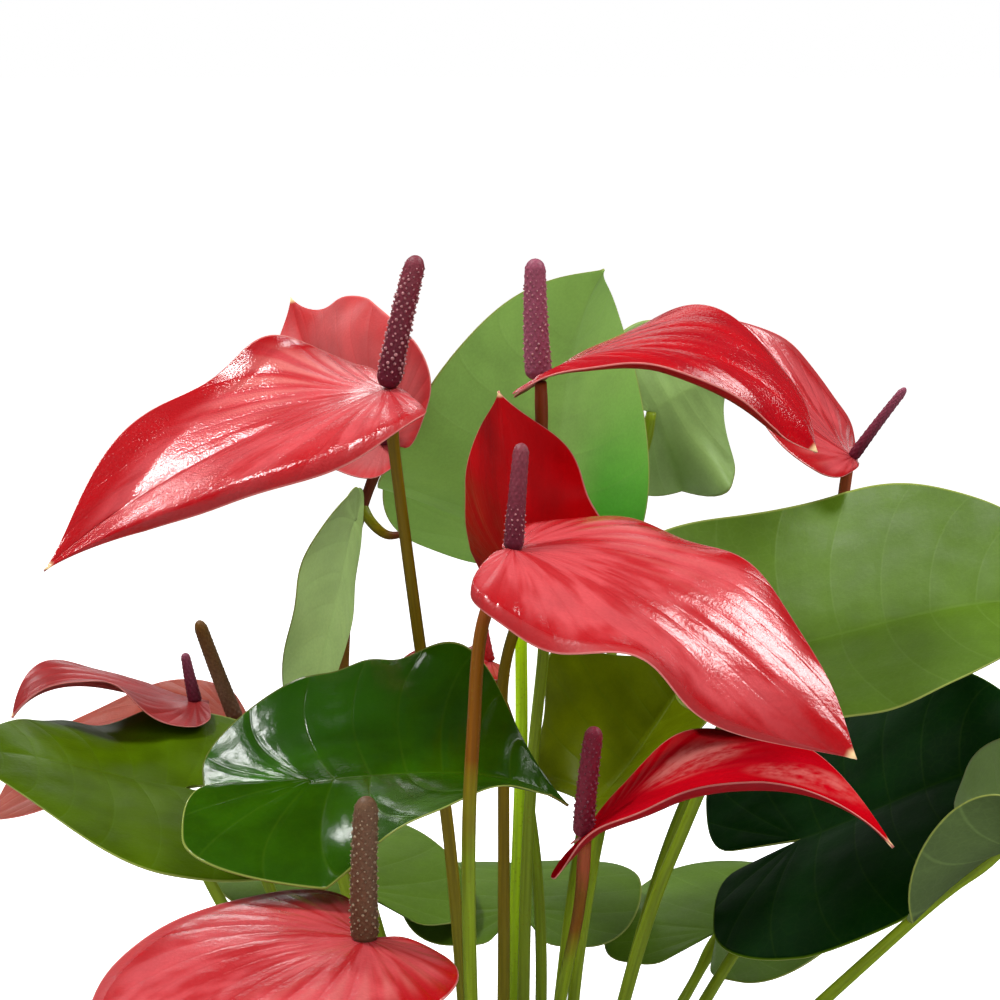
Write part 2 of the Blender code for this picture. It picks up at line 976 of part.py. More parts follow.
def rings_object(name, centres, axes, radii, sides, colour):
    """A closed solid of rings about a curve, with a flat cap at each end."""
    side = np.cross(axes[0], (0.3, 1, 0.1))
    vertices = []
    for centre, axis, radius in zip(centres, axes, radii):
        side = side - axis * np.dot(side, axis)
        side = side / np.linalg.norm(side)
        other = np.cross(axis, side)
        radius = np.broadcast_to(radius, sides)
        for k, r in enumerate(radius):
            angle = 2 * math.pi * k / sides
            vertices.append(centre + r * (side * math.cos(angle) + other * math.sin(angle)))
    faces = [tuple(range(sides))[::-1]]
    last = len(vertices) - sides
    for first in range(0, last, sides):
        for k in range(sides):
            n = (k + 1) % sides
            faces.append((first + k, first + n, first + sides + n, first + sides + k))
    faces.append(tuple(range(last, last + sides)))
    return mesh_object(name, vertices, faces, colour)


def directions(curve):
    """The unit direction of a polyline at each of its points."""
    steps = np.gradient(curve, axis=0)
    return steps / np.linalg.norm(steps, axis=1)[:, None]


def stem_object(name, curve, foot_radius, top_radius, colour):
    """A stalk that tapers along its centre line."""
    radii = np.linspace(foot_radius, top_radius, len(curve))
    return rings_object(name, curve, directions(curve), radii, STEM_SIDES, colour)


def junction(blade):
    """The junction's place and the upper face's direction there."""
    _, _, face = midrib_axes(blade, np.array(0.0))
    return np.array(blade.at, float), face


def clear_of_face(blade, towards, radius):
    """How far from the blade's middle a round end must stop to keep the gap."""
    _, face = junction(blade)
    along = abs(float(np.dot(towards, face))) / np.linalg.norm(towards)
    slope = math.radians(max(abs(blade.left_slope[0]), abs(blade.right_slope[0])))
    lean = min(math.pi / 2, math.acos(min(1.0, along)) + slope)
    return BLADE_THICKNESS / 2 + GAP + radius * math.sin(lean)


def planted_curve(soil, route, end):
    """A stalk's centre line: straight up out of the soil, then smooth to its end."""
    above_soil = smooth_route([(*soil, SOIL_TOP + 2 * SOIL_RELIEF), *route, end])
    return np.vstack([(*soil, STEM_FOOT), above_soil])


def add_spadix(name, flower):
    """A tapering spike with rows of florets standing out of it, rounded at both ends."""
    place, face = junction(flower.blade)
    tip = np.array(flower.spadix_tip, float)
    base_radius, tip_radius = flower.spadix_radii
    towards = tip - place
    stalk_radius = SPADIX_FOOT_RATIO * base_radius
    base = place + face * clear_of_face(flower.blade, towards, stalk_radius)
    t = np.linspace(0, 1, SPADIX_RINGS + 1)
    near_tip = np.clip((t - 1 + SPADIX_END) / SPADIX_END, 0, 0.97)
    near_foot = np.clip(t / SPADIX_END, 0, 1)
    round_end = np.sqrt(1 - near_tip**2) * (SPADIX_FOOT_RATIO + (1 - SPADIX_FOOT_RATIO) * near_foot)
    radii = (base_radius + (tip_radius - base_radius) * t) * round_end
    centres = base + (tip - base) * t[:, None]
    axes = np.repeat([towards / np.linalg.norm(towards)], len(t), axis=0)
    rings = []
    for ring, radius in enumerate(radii):
        checker = (np.arange(SPADIX_SIDES) + ring) % 2
        relief = FLORET_RELIEF if 0 < ring < SPADIX_RINGS else 0
        rings.append(radius + relief * (2 * checker - 1))
    return rings_object(name, centres, axes, rings, SPADIX_SIDES, flower.spadix_colour)


def add_flower(letter, flower):
    """One flower: spathe, spadix and peduncle."""
    blade_object(f"spathe_{letter}", flower.blade, flower.colour)
    add_spadix(f"spadix_{letter}", flower)
    place, face = junction(flower.blade)
    towards = place - np.array(flower.route[-1], float)
    end = place - face * clear_of_face(flower.blade, towards, PEDUNCLE_TOP_RADIUS)
    curve = planted_curve(flower.soil, flower.route, end)
    name = f"peduncle_{letter}"
    return stem_object(name, curve, PEDUNCLE_FOOT_RADIUS, PEDUNCLE_TOP_RADIUS, "peduncle_brown")


def add_leaf(number, leaf):
    """One leaf: its blade grown together with its petiole."""
    name = f"leaf_{number}"
    obj = blade_object(name, leaf.blade, leaf.colour)
    place, face = junction(leaf.blade)
    curve = planted_curve(leaf.soil, leaf.route, place + face * BLADE_THICKNESS / 4)
    petiole = stem_object(f"{name}_stalk", curve, PETIOLE_FOOT_RADIUS, PETIOLE_TOP_RADIUS, "petiole_green")
    boolean(obj, as_cutter(petiole), "UNION")
    return obj


def lathe(name, profile, colour):
    """A turned solid from (radius, height) points, from the axis round to the axis."""
    vertices = []
    for radius, height in profile:
        for k in range(POT_SIDES):
            angle = 2 * math.pi * k / POT_SIDES
            vertices.append((radius * math.cos(angle), radius * math.sin(angle), height))
    faces = []
    for first in range(0, len(vertices) - POT_SIDES, POT_SIDES):
        for k in range(POT_SIDES):
            n = (k + 1) % POT_SIDES
            faces.append((first + k, first + n, first + POT_SIDES + n, first + POT_SIDES + k))
    return mesh_object(name, vertices, faces, colour)


def pot_radius(height):
    """The pot's outer radius below its rim band."""
    body = POT_RIM_RADIUS - POT_BAND_STEP
    return POT_FOOT_RADIUS + (body - POT_FOOT_RADIUS) * height / POT_HEIGHT


def add_pot():
    """A plain tapered pot with a band round its rim and a flat underside."""
    band = POT_HEIGHT - POT_BAND_HEIGHT
    inner_floor = pot_radius(POT_FLOOR) - POT_WALL
    inner_rim = pot_radius(POT_HEIGHT) - POT_WALL
    profile = [
        (0, 0),
        (POT_FOOT_RADIUS - POT_EDGE, 0),
        (POT_FOOT_RADIUS, POT_EDGE),
        (pot_radius(band), band),
        (pot_radius(band) + POT_BAND_STEP, band + POT_EDGE),
        (POT_RIM_RADIUS, POT_HEIGHT - POT_LIP),
        (POT_RIM_RADIUS - POT_LIP, POT_HEIGHT),
        (inner_rim + POT_LIP, POT_HEIGHT),
        (inner_rim, POT_HEIGHT - POT_LIP),
        (inner_floor, POT_FLOOR),
        (0, POT_FLOOR),
    ]
    return lathe("pot", profile, "pot_white")


def soil_height(radius, angle):
    """The uneven top of the soil."""
    along_x = math.sin(SOIL_WAVE_X * radius * math.cos(angle) + SOIL_WAVE_START)
    along_y = math.cos(SOIL_WAVE_Y * radius * math.sin(angle))
    return SOIL_TOP + SOIL_RELIEF * along_x * along_y * min(1.0, radius / SOIL_LEVEL_RADIUS)


def add_soil(plants):
    """Potting soil that fills the pot, with a plain hole round each stalk."""
    limit = POT_WALL + GAP
    rings = [(0, POT_FLOOR + GAP)]
    rings.append((pot_radius(POT_FLOOR + GAP) - limit, POT_FLOOR + GAP))
    edge = pot_radius(SOIL_TOP - SOIL_RELIEF) - limit
    vertices = []
    sides = [(radius, [height] * POT_SIDES) for radius, height in rings]
    for step in range(SOIL_RINGS, -1, -1):
        radius = edge * step / SOIL_RINGS
        turns = [2 * math.pi * k / POT_SIDES for k in range(POT_SIDES)]
        sides.append((radius, [soil_height(radius, turn) for turn in turns]))
    for radius, heights in sides:
        for k, height in enumerate(heights):
            angle = 2 * math.pi * k / POT_SIDES
            vertices.append((radius * math.cos(angle), radius * math.sin(angle), height))
    faces = []
    for first in range(0, len(vertices) - POT_SIDES, POT_SIDES):
        for k in range(POT_SIDES):
            n = (k + 1) % POT_SIDES
            faces.append((first + k, first + n, first + POT_SIDES + n, first + POT_SIDES + k))
    soil = mesh_object("soil", vertices, faces, "soil_brown")
    boolean(soil, add_holes(plants), "DIFFERENCE")
    return soil


def add_holes(plants):
    """The cutter for all the stalks' holes."""
    vertices = []
    faces = []
    for plant in plants:
        x, y = plant.soil
        radius = PETIOLE_FOOT_RADIUS if isinstance(plant, Leaf) else PEDUNCLE_FOOT_RADIUS
        radius = (radius + GAP) / math.cos(math.pi / HOLE_SIDES)
        first = len(vertices)
        for height in (STEM_FOOT - GAP, SOIL_TOP + 3 * SOIL_RELIEF):
            for k in range(HOLE_SIDES):
                angle = 2 * math.pi * k / HOLE_SIDES
                vertices.append((x + radius * math.cos(angle), y + radius * math.sin(angle), height))
        top = first + HOLE_SIDES
        faces.append(tuple(range(first, top))[::-1])
        faces.append(tuple(range(top, top + HOLE_SIDES)))
        for k in range(HOLE_SIDES):
            n = (k + 1) % HOLE_SIDES
            faces.append((first + k, first + n, top + n, top + k))
    return as_cutter(mesh_object("stalk_holes", vertices, faces, "soil_brown"))


def add_side_shoot(peduncle):
    """The dark hooked shoot on the peduncle of flower B, grown together with it."""
    shoot = stem_object("side_shoot", smooth_route(SIDE_SHOOT), *SIDE_SHOOT_RADII, "shoot_maroon")
    boolean(peduncle, as_cutter(shoot), "UNION")


def main():
    clear_scene()
    add_pot()
    add_soil([*FLOWERS.values(), *LEAVES.values()])
    for letter, flower in FLOWERS.items():
        peduncle = add_flower(letter, flower)
        if letter == "b":
            add_side_shoot(peduncle)
    for number, leaf in LEAVES.items():
        add_leaf(number, leaf)


main()
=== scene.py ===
"""Looks of the potted anthurium: waxy spathes, beaded spadices, veined leaves, pot, soil and the stage.

Lengths in the tables are millimetres and angles are degrees, as in the part's source; meshes are
made in metres. +Z is up, +Y is away from the viewer, and the origin is under the pot.
"""

import math
from dataclasses import dataclass

import bmesh
import bpy
import numpy as np
from bpy.props import FloatProperty, FloatVectorProperty, IntProperty, PointerProperty
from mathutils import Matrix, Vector


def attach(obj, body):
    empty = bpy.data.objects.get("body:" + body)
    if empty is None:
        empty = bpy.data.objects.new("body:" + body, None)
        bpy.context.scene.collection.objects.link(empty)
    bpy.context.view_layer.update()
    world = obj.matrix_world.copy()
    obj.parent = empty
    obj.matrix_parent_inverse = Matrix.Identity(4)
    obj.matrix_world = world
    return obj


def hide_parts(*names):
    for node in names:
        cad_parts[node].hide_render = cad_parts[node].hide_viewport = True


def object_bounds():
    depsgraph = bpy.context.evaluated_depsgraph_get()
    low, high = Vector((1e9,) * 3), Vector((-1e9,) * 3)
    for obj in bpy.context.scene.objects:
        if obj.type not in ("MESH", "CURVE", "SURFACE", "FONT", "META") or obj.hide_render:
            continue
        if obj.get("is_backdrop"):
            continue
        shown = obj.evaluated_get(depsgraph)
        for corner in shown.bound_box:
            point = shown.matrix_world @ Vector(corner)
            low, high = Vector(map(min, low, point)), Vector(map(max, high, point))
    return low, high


bl_info = {
    "name": "Potted Anthurium",
    "version": (1, 0, 0),
    "blender": (4, 5, 0),
    "location": "View3D > Sidebar > Anthurium",
    "description": "Builds the visible pieces of a potted anthurium over its solid frame",
    "category": "Object",
}

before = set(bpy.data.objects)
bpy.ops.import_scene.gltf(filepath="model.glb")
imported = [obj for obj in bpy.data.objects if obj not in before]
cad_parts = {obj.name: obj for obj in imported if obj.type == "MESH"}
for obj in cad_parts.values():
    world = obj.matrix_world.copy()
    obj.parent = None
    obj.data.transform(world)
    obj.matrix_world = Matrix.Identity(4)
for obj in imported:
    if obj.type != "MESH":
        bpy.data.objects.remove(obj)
CAD_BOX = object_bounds()

MM = 0.001

# The flat blade's rows, as the solids have them: the first ones fan out from the junction.
ROWS = 13
FAN_ROWS = 4
MIDRIB_STEPS = 60
# Where along a blade its margin is lifted, and how far each lift spreads.
WAVE_PLACES = (0.2, 0.5, 0.8)
WAVE_SPREAD = 0.14
# Where between midrib and margin the curled strip starts.
CURL_START = 0.84
# How softly the lobes bend up or down behind the junction.
CREASE = 4.0
# Quilting of spathes and leaves fades over these distances from the junction.
SPATHE_FADE = 55
LEAF_FADE = 200

# Pot and soil, as the solids have them.
POT_HEIGHT = 112
POT_FOOT = 44
POT_RIM = 64
POT_BAND = 16
POT_STEP = 2
POT_WALL = 3
POT_FLOOR = 4
POT_EDGE = 1.4
GAP = 0.3
SOIL_TOP = 100
SOIL_RELIEF = 1.6
SOIL_WAVE_X = 0.21
SOIL_WAVE_Y = 0.17
SOIL_WAVE_START = 1.3
SOIL_LEVEL_RADIUS = 12
SCATTER_RADIUS = 54

# Sides, rings and unevenness of the soil, and the lumps' sizes and random seeds.
SOIL_SIDES = 160
SOIL_RINGS = 48
SOIL_CRUMBS = 0.35
SOIL_SEED = 4
BARK = ((4.2, 2.4, 1.1), 7)
PERLITE = ((1.2, 1.1, 0.9), 11)

# Where the stalks start in the soil, the spacing of their rings and the points in each.
STALK_START = 96
STALK_STEP = 2.5
STALK_SIDES = 18
# Foot radius, top radius, extra swelling under the blade and how far the stalk ends below it.
FLOWER_STALK = (1.9, 1.5, 0.25, 1.1)
LEAF_STALK = (2.2, 1.5, 0.55, 1.3)
# The young shoot's route from the second flower's stalk.
SIDE_SHOOT = ((-41, 57, 319), (-38, 54, 314), (-33, 49, 311), (-27, 46, 312))

# A spadix's ring spacing and how far its florets stand out.
SPADIX_STEP = 0.22
FLORET_DEPTH = 0.2
BEAD_SEED = 5

# The photograph's view: millimetres of lens and sensor, then metres and degrees.
LENS = 90
SENSOR = 36
CAMERA_DISTANCE = 0.68
CAMERA_AIM = 0.33
CAMERA_TILT = 10

# The floor's rings: the last one is past the horizon that the camera sees.
FLOOR_RADII = (600, 3000, 60000)

# Each light's name, place, aim, size in metres, brightness, and whether glossy faces mirror it.
LIGHTS = (
    ("left window", (-0.56, 0.06, 1.35), (-0.12, -0.06, 0.33), (0.22, 0.22), 85, True),
    ("low window", (-0.54, 0.66, 0.71), (-0.08, -0.1, 0.24), (0.07, 0.08), 42, True),
    ("right window", (0.74, 0.15, 1.13), (0.07, -0.12, 0.3), (0.46, 0.3), 19, True),
    ("back card", (-0.02, 1.3, 0.95), (0, 0, 0.33), (0.7, 0.3), 1.3, True),
    ("low card", (-0.2, 0.83, 0.54), (0.0, -0.1, 0.28), (0.22, 0.07), 7, True),
    ("ceiling", (0.1, 0.48, 1.45), (0, 0, 0.33), (0.7, 0.4), 3, False),
    ("top fill", (0.0, 0.1, 1.6), (0, 0, 0.3), (0.9, 0.9), 1.1, False),
    ("front box", (0.0, -0.75, 1.35), (0, 0, 0.3), (1.0, 0.6), 4.8, False),
    ("front fill", (0.3, -1.7, 0.8), (0, 0, 0.3), (1.2, 0.8), 2.2, False),
)

# The sky's brightness by height of direction, 0 straight down and 1 straight up.
WORLD_STOPS = ((0, 0.05), (0.48, 0.05), (0.49, 1), (0.515, 1), (0.53, 0.04), (0.8, 0.05), (1, 0.06))

LEVEL = (0, 0, 0)


@dataclass
class Blade:
    """A heart-shaped blade on its stalk: its flat outline, and how it is bent about its midrib.

    Triples are the values at the junction, half way and at the tip. Pairs are for the left and the
    right half, as seen from the junction, looking to the tip with the upper face up. The outline is
    where the blade is widest, how far its lobes' inner corners stand apart, and how full its
    shoulders and its tip are. Slopes are angles across a half at the midrib, and edges at the
    margin. Waves lift the margin at three places. Curls turn the outermost strip of a margin up,
    or down where they are negative, by so many millimetres.
    """

    at: tuple
    length: float
    half_widths: tuple
    lobes: tuple
    outline: tuple
    heading: tuple
    pitch: tuple
    roll: tuple
    soil: tuple
    route: tuple
    lobe_lift: tuple = (0, 0)
    slopes: tuple = ((5, 5, 5), (5, 5, 5))
    edges: tuple = (LEVEL, LEVEL)
    waves: tuple = (LEVEL, LEVEL)
    curls: tuple = (LEVEL, LEVEL)
    detail: float = 0.6


@dataclass
class Flower(Blade):
    """A spathe with its spadix, which is a tip, a foot radius and a tip radius, and their looks."""

    spadix: tuple = ()
    look: str = "red"
    under: str = "red under"
    beads: str = "plum"
    stalk: str = "russet"


@dataclass
class Leaf(Blade):
    """A leaf, with the names of its looks."""

    look: str = "mid"
    under: str = "leaf under"
    stalk: str = "green"


FLOWERS = {
    # Upper left, drooping to the left.
    "a": Flower(
        (-29, -30, 365), 100, (33, 39), (4, 4), (0.25, 0.09, 0.5, 0.3), heading=(-163, -163, -149),
        pitch=(-15, -25, -37), roll=(-4, -19, -15), lobe_lift=(-12, -12), slopes=((-9, 18, -5), (-9, 12, 15)),
        edges=((7, -8, -3), (10, -12, 43)), waves=((-2, 2, 3), (11, 0, -3)), curls=((-1, -3.5, -2), LEVEL),
        soil=(-5, -8), route=((-9, -13, 175), (-14, -18, 242), (-21, -25, 294), (-27, -30, 345)),
        spadix=((-21, -33, 399), 3.2, 2.6), look="ridged", stalk="olive", detail=1,
    ),
    # Behind the first, cupped upwards.
    "b": Flower(
        (-34, 60, 337), 77, (20, 36), (11, 12), (0.33, 0.13, 0.63, 0.24), heading=(132, 116, 122),
        pitch=(19, 24, 68), roll=(-52, -60, -38), lobe_lift=(-2, -3), slopes=((23, 32, 6), (31, 49, 0)),
        edges=((33, 8, 5), (37, -17, 17)), waves=((1, 0, 1), (-4, -2, 7)), soil=(-16, 12),
        route=((-38, 30, 175), (-46, 44, 240), (-45, 52, 294), (-41, 56, 316)),
        spadix=((-30, 30, 366), 2.5, 1.8), look="soft", beads="smooth", stalk="maroon",
    ),
    # Upper right, arched over and down.
    "c": Flower(
        (10, -30, 367), 83, (34, 40), (9, 6), (0.31, 0.15, 0.49, 0.1), heading=(-2, -6, -12),
        pitch=(28, -12, -67), roll=(7, 9, 18), lobe_lift=(-5, -6), slopes=((-17, 13, -13), (16, 10, -33)),
        edges=((-8, -11, 24), (9, -5, 7)), waves=((-3, 5, -7), (-2, -1, 3)), curls=(LEVEL, (0, 3.4, 0.5)),
        soil=(6, 4), route=((7, 10, 200), (9, 10, 251), (12, 0, 289), (12, -12, 318), (11, -25, 350)),
        spadix=((9, -30, 398), 3.5, 2.6), look="crimson", beads="mauve", detail=1,
    ),
    # Young and upright, cupped round its spadix.
    "d": Flower(
        (8, -35, 314), 54, (25, 28), (14, 19), (0.28, 0.2, 0.57, 0.21), heading=(-127, -129, -129),
        pitch=(56, 81, 72), roll=(4, 1, -1), lobe_lift=(0, -6), slopes=((15, 16, 23), (14, 18, 21)),
        edges=((33, 22, 21), (34, 36, 22)), waves=((-3, -4, 8), (-1, -1, 1)), soil=(0, -3),
        route=((1, 1, 190), (1, -4, 250), (1, -20, 286)), spadix=((11, -28, 340), 2.1, 1.5), look="deep",
        under="deep", beads="smooth", stalk="olive", detail=1,
    ),
    # At the front in the middle, sloping down to the right.
    "e": Flower(
        (3, -107, 337), 93, (37, 36), (5, 4), (0.25, 0.2, 0.37, 0.16), heading=(-17, -19, -21),
        pitch=(0, -31, -41), roll=(21, 26, 36), lobe_lift=(-12, 12), slopes=((-8, 1, 5), (13, 2, -29)),
        edges=((-32, -41, -16), (8, 7, -19)), waves=((5, 8, -8), (-4, 13, -2)), curls=(LEVEL, (-3, -1.5, -1)),
        soil=(-3, -17),
        route=((-6, -74, 180), (-7, -120, 245), (-7, -131, 277), (-6, -125, 299), (-4, -113, 321)),
        spadix=((5, -100, 361), 2.3, 1.8), beads="half", detail=1,
    ),
    # Behind on the right, facing back to the left.
    "f": Flower(
        (104, 60, 332), 59, (34, 29), (4, 1), (0.23, 0.09, 0.5, 0.1), heading=(156, 147, 141),
        pitch=(39, 41, 47), roll=(8, 6, 2), lobe_lift=(4, -12), slopes=((-6, 2, 5), (-3, 13, 42)),
        edges=((-13, -2, 1), (-16, 2, -15)), waves=((-1, 0, 0), (2, 0, 5)), soil=(18, 13),
        route=((48, 38, 215), (78, 52, 275), (98, 58, 308)), spadix=((118, 52, 354), 1.8, 1.2), beads="smooth",
    ),
    # Small, at the left.
    "g": Flower(
        (-85, 8, 271), 54, (21, 20), (4, 4), (0.3, 0.24, 0.63, 0.1), heading=(-172, -166, -154),
        pitch=(0, 12, -57), roll=(8, 0, 9), lobe_lift=(12, -12), slopes=((-21, 22, 7), (6, 16, 15)),
        edges=((-9, -5, 4), (-12, -9, 29)), waves=((-1, 3, 1), (0, -1, 6)), soil=(-20, 2),
        route=((-56, 4, 195), (-77, 7, 250)), spadix=((-88, 10, 285), 2.0, 1.2), look="dull", beads="smooth",
    ),
    # Pale red, behind the small one.
    "h": Flower(
        (-77, 40, 257), 78, (23, 34), (4, 5), (0.31, 0.13, 0.6, 0.16), heading=(-159, -165, -149),
        pitch=(-6, -20, -17), roll=(-3, -8, -11), lobe_lift=(12, -12), slopes=((9, 20, -9), (11, 18, -5)),
        edges=((17, 0, 5), (5, -4, 20)), waves=((0, 0, 2), (1, -1, 1)), soil=(-13, 3),
        route=((-45, 20, 195), (-69, 37, 240)), spadix=((-88, 42, 287), 2.4, 1.9), look="salmon", beads="olive",
    ),
    # Low at the right, arched over and down.
    "i": Flower(
        (21, -60, 254), 90, (38, 27), (7, 4), (0.2, 0.08, 0.44, 0.36), heading=(-27, -27, -23),
        pitch=(37, 11, -47), roll=(10, -3, 1), lobe_lift=(0, -12), slopes=((-11, 17, 19), (6, 1, 20)),
        edges=((12, 10, -8), (-13, -16, 11)), waves=((3, -4, 0), (4, 3, 5)), curls=(LEVEL, (0, 2.4, 0.3)),
        soil=(7, -17), route=((14, -42, 190), (20, -57, 232)), spadix=((24, -57, 282), 2.7, 2.3), look="raised",
        beads="magenta", detail=1,
    ),
    # Lowest, at the front on the left.
    "j": Flower(
        (-30, -140, 255), 84, (35, 34), (8, 8), (0.27, 0.2, 0.52, 0.25), heading=(-140, -135, -130),
        pitch=(5, -12, -40), roll=(-6, -6, -6), lobe_lift=(12, 12), slopes=((6, 4, 4), (6, 4, 4)),
        edges=((-6, -8, 0), (-6, -8, 0)), waves=((0, 1, 0), (0, -1, 0)), soil=(-10, -24),
        route=((-20, -85, 180), (-28, -128, 225)), spadix=((-29, -145, 290), 3.1, 2.6), beads="brown",
    ),
    # Small and young, half hidden behind the front leaf.
    "k": Flower(
        (-3, 44, 274), 39, (12, 11), (3, 3), (0.25, 0.27, 0.5, 0.35), heading=(-149, -146, -143),
        pitch=(12, -3, -25), roll=(-22, -18, -20), lobe_lift=(2, 0), slopes=((7, 5, 5), (6, 4, 4)),
        edges=((2, 0, 0), (1, 0, 0)), waves=(LEVEL, (-10, -1, 0)), soil=(9, 12),
        route=((12, 24, 190), (7, 35, 242)), spadix=((-5, 46, 286), 1.6, 1.1), beads="young",
    ),
}

LEAVES = {
    # Back leaf with its tip up.
    1: Leaf(
        (9, 95, 299), 95, (38, 53), (39, 20), (0.33, 0.24, 0.75, 0.15), heading=(-50, -53, -38),
        pitch=(53, 78, 50), roll=(-20, 0, -4), lobe_lift=(1, 14), slopes=((4, 11, 19), (20, 8, 42)),
        edges=((-5, 8, 6), (20, 7, 8)), waves=((-1, 0, 2), (3, 0, -3)), soil=(1, 16),
        route=((4, 19, 190), (6, 21, 250), (6, 24, 287), (6, 38, 308), (8, 68, 311)), look="bright",
        under="bright under", stalk="lime", detail=1,
    ),
    # Grey-green leaf behind the upper right flower.
    2: Leaf(
        (48, 125, 337), 36, (33, 27), (16, 13), (0.26, 0.58, 0.56, 0.54), heading=(14, 18, 24),
        pitch=(26, 22, -7), roll=(-71, -103, -61), lobe_lift=(-4, -8), slopes=((-13, 6, 20), (22, 16, 6)),
        edges=((8, -2, -4), (9, 1, 20)), waves=((-12, -3, 0), LEVEL), soil=(11, 21),
        route=((22, 70, 190), (38, 120, 270), (44, 127, 310)), look="grey", under="grey under",
    ),
    # Pale leaf hanging behind the upper left flower.
    3: Leaf(
        (-43, 38, 317), 73, (12, 26), (12, 7), (0.17, 0.36, 0.37, 0.26), heading=(-107, -116, -122),
        pitch=(-62, -61, -80), roll=(-72, -65, -53), lobe_lift=(-3, 44), slopes=((-16, -7, 6), (17, 19, -5)),
        edges=((-21, -10, 2), (46, 5, 0)), waves=((-2, -1, 0), (1, 8, -2)), soil=(-8, 18),
        route=((-36, 44, 190), (-53, 60, 250), (-52, 58, 290)), look="pale",
    ),
    # Dark glossy leaf across the front.
    4: Leaf(
        (-45, -88, 277), 67, (61, 45), (29, 32), (0.43, 0.08, 0.7, 0.6), heading=(8, 15, 26),
        pitch=(0, -6, -38), roll=(17, 3, 27), lobe_lift=(-27, 3), slopes=((-9, 20, 14), (-2, 12, 24)),
        edges=((0, 16, 28), (-3, 9, 13)), waves=((-2, -6, 7), (3, 4, 3)), soil=(-14, -14),
        route=((-28, -50, 190), (-39, -78, 250)), look="dark", detail=1,
    ),
    # Left leaf, pointing outwards.
    5: Leaf(
        (-83, -35, 259), 68, (52, 45), (28, 28), (0.21, 0.22, 0.45, 0.42), heading=(-159, -159, -164),
        pitch=(13, 18, -5), roll=(-16, -12, -18), lobe_lift=(-2, 8), slopes=((12, 4, 1), (5, -1, 14)),
        edges=((-3, -6, -4), (-4, -11, -6)), waves=((0, 0, -2), (-4, -3, 0)), soil=(-24, -7),
        route=((-58, -22, 190), (-78, -33, 235)), look="olive",
    ),
    # Shaded leaf behind the middle flower.
    6: Leaf(
        (29, 30, 236), 67, (34, 30), (4, 14), (0.25, 0.1, 0.53, 0.4), heading=(46, 48, 48), pitch=(29, 39, 42),
        roll=(-16, -10, 7), lobe_lift=(8, 15), slopes=((45, 68, 13), (9, 15, -21)),
        edges=((-22, 12, 4), (10, -3, -21)), waves=((-2, 15, 0), (5, 3, 0)), soil=(15, 3),
        route=((21, 14, 180), (27, 25, 218)), look="lit",
    ),
    # Large right leaf.
    7: Leaf(
        (74, -5, 289), 94, (55, 51), (38, 25), (0.27, 0.34, 0.54, 0.26), heading=(-8, -11, -7),
        pitch=(13, 14, -15), roll=(29, 17, 25), lobe_lift=(23, 9), slopes=((-4, 15, 26), (25, 8, 8)),
        edges=((17, 20, -6), (12, -4, 26)), waves=((-1, 1, 9), (2, 2, 0)), soil=(14, -7),
        route=((38, -3, 200), (52, -2, 240), (68, -4, 278)), detail=1,
    ),
    # Large leaf under it, painted dark for the shade it lies in.
    8: Leaf(
        (89, 40, 221), 85, (62, 55), (30, 28), (0.28, 0.16, 0.55, 0.29), heading=(-13, -13, -17),
        pitch=(22, 26, -1), roll=(27, 20, 32), lobe_lift=(1, -3), slopes=((-4, 19, 27), (13, 9, -7)),
        edges=((-4, -10, -4), (-4, -10, 11)), soil=(24, 4), route=((50, 20, 160), (76, 34, 200)), look="shade",
    ),
    # Leaf at the right corner.
    9: Leaf(
        (130, -45, 247), 82, (34, 34), (35, 20), (0.31, 0.31, 0.5, 0.35), heading=(-70, -71, -93),
        pitch=(9, 7, -27), roll=(21, -11, 4), lobe_lift=(2, -23), slopes=((10, 23, 17), (-4, 33, 7)),
        edges=((78, 23, -7), (-18, 16, 22)), waves=(LEVEL, (0, 1, 0)), soil=(23, -10),
        route=((60, -22, 165), (105, -38, 220)), look="grey",
    ),
    # Low at the back on the left.
    10: Leaf(
        (-45, 80, 192), 92, (44, 44), (24, 24), (0.25, 0.4, 0.5, 0.25), heading=(125, 130, 138),
        pitch=(20, -4, -42), roll=(4, 2, 0), edges=((-6, -8, -4), (-6, -8, -4)), soil=(-16, 24),
        route=((-25, 42, 145), (-38, 66, 174)),
    ),
    # Low at the back on the right.
    11: Leaf(
        (70, 98, 172), 88, (42, 42), (24, 24), (0.25, 0.4, 0.5, 0.25), heading=(55, 50, 44),
        pitch=(18, -6, -44), roll=(-4, -2, 0), edges=((-6, -8, -4), (-6, -8, -4)), soil=(20, 24),
        route=((36, 46, 136), (58, 80, 156)),
    ),
    # Low at the left, over the rim.
    12: Leaf(
        (-84, 10, 170), 78, (38, 38), (22, 22), (0.25, 0.4, 0.5, 0.25), heading=(172, 176, 182),
        pitch=(12, -14, -50), roll=(3, 0, 0), edges=((-6, -8, -4), (-6, -8, -4)), soil=(-30, 3),
        route=((-50, 6, 135), (-72, 9, 158)),
    ),
    # Low at the front on the right.
    13: Leaf(
        (52, -72, 150), 80, (39, 39), (22, 22), (0.25, 0.4, 0.5, 0.25), heading=(-58, -54, -50),
        pitch=(12, -14, -50), roll=(-3, 0, 0), edges=((-6, -8, -4), (-6, -8, -4)), soil=(17, -20),
        route=((29, -38, 126), (45, -60, 141)),
    ),
    # Low at the back.
    14: Leaf(
        (6, 96, 180), 82, (40, 40), (22, 22), (0.25, 0.4, 0.5, 0.25), heading=(88, 92, 97),
        pitch=(14, -12, -46), roll=(0, 0, 0), edges=((-6, -8, -4), (-6, -8, -4)), soil=(2, 28),
        route=((4, 50, 140), (6, 82, 168)),
    ),
}


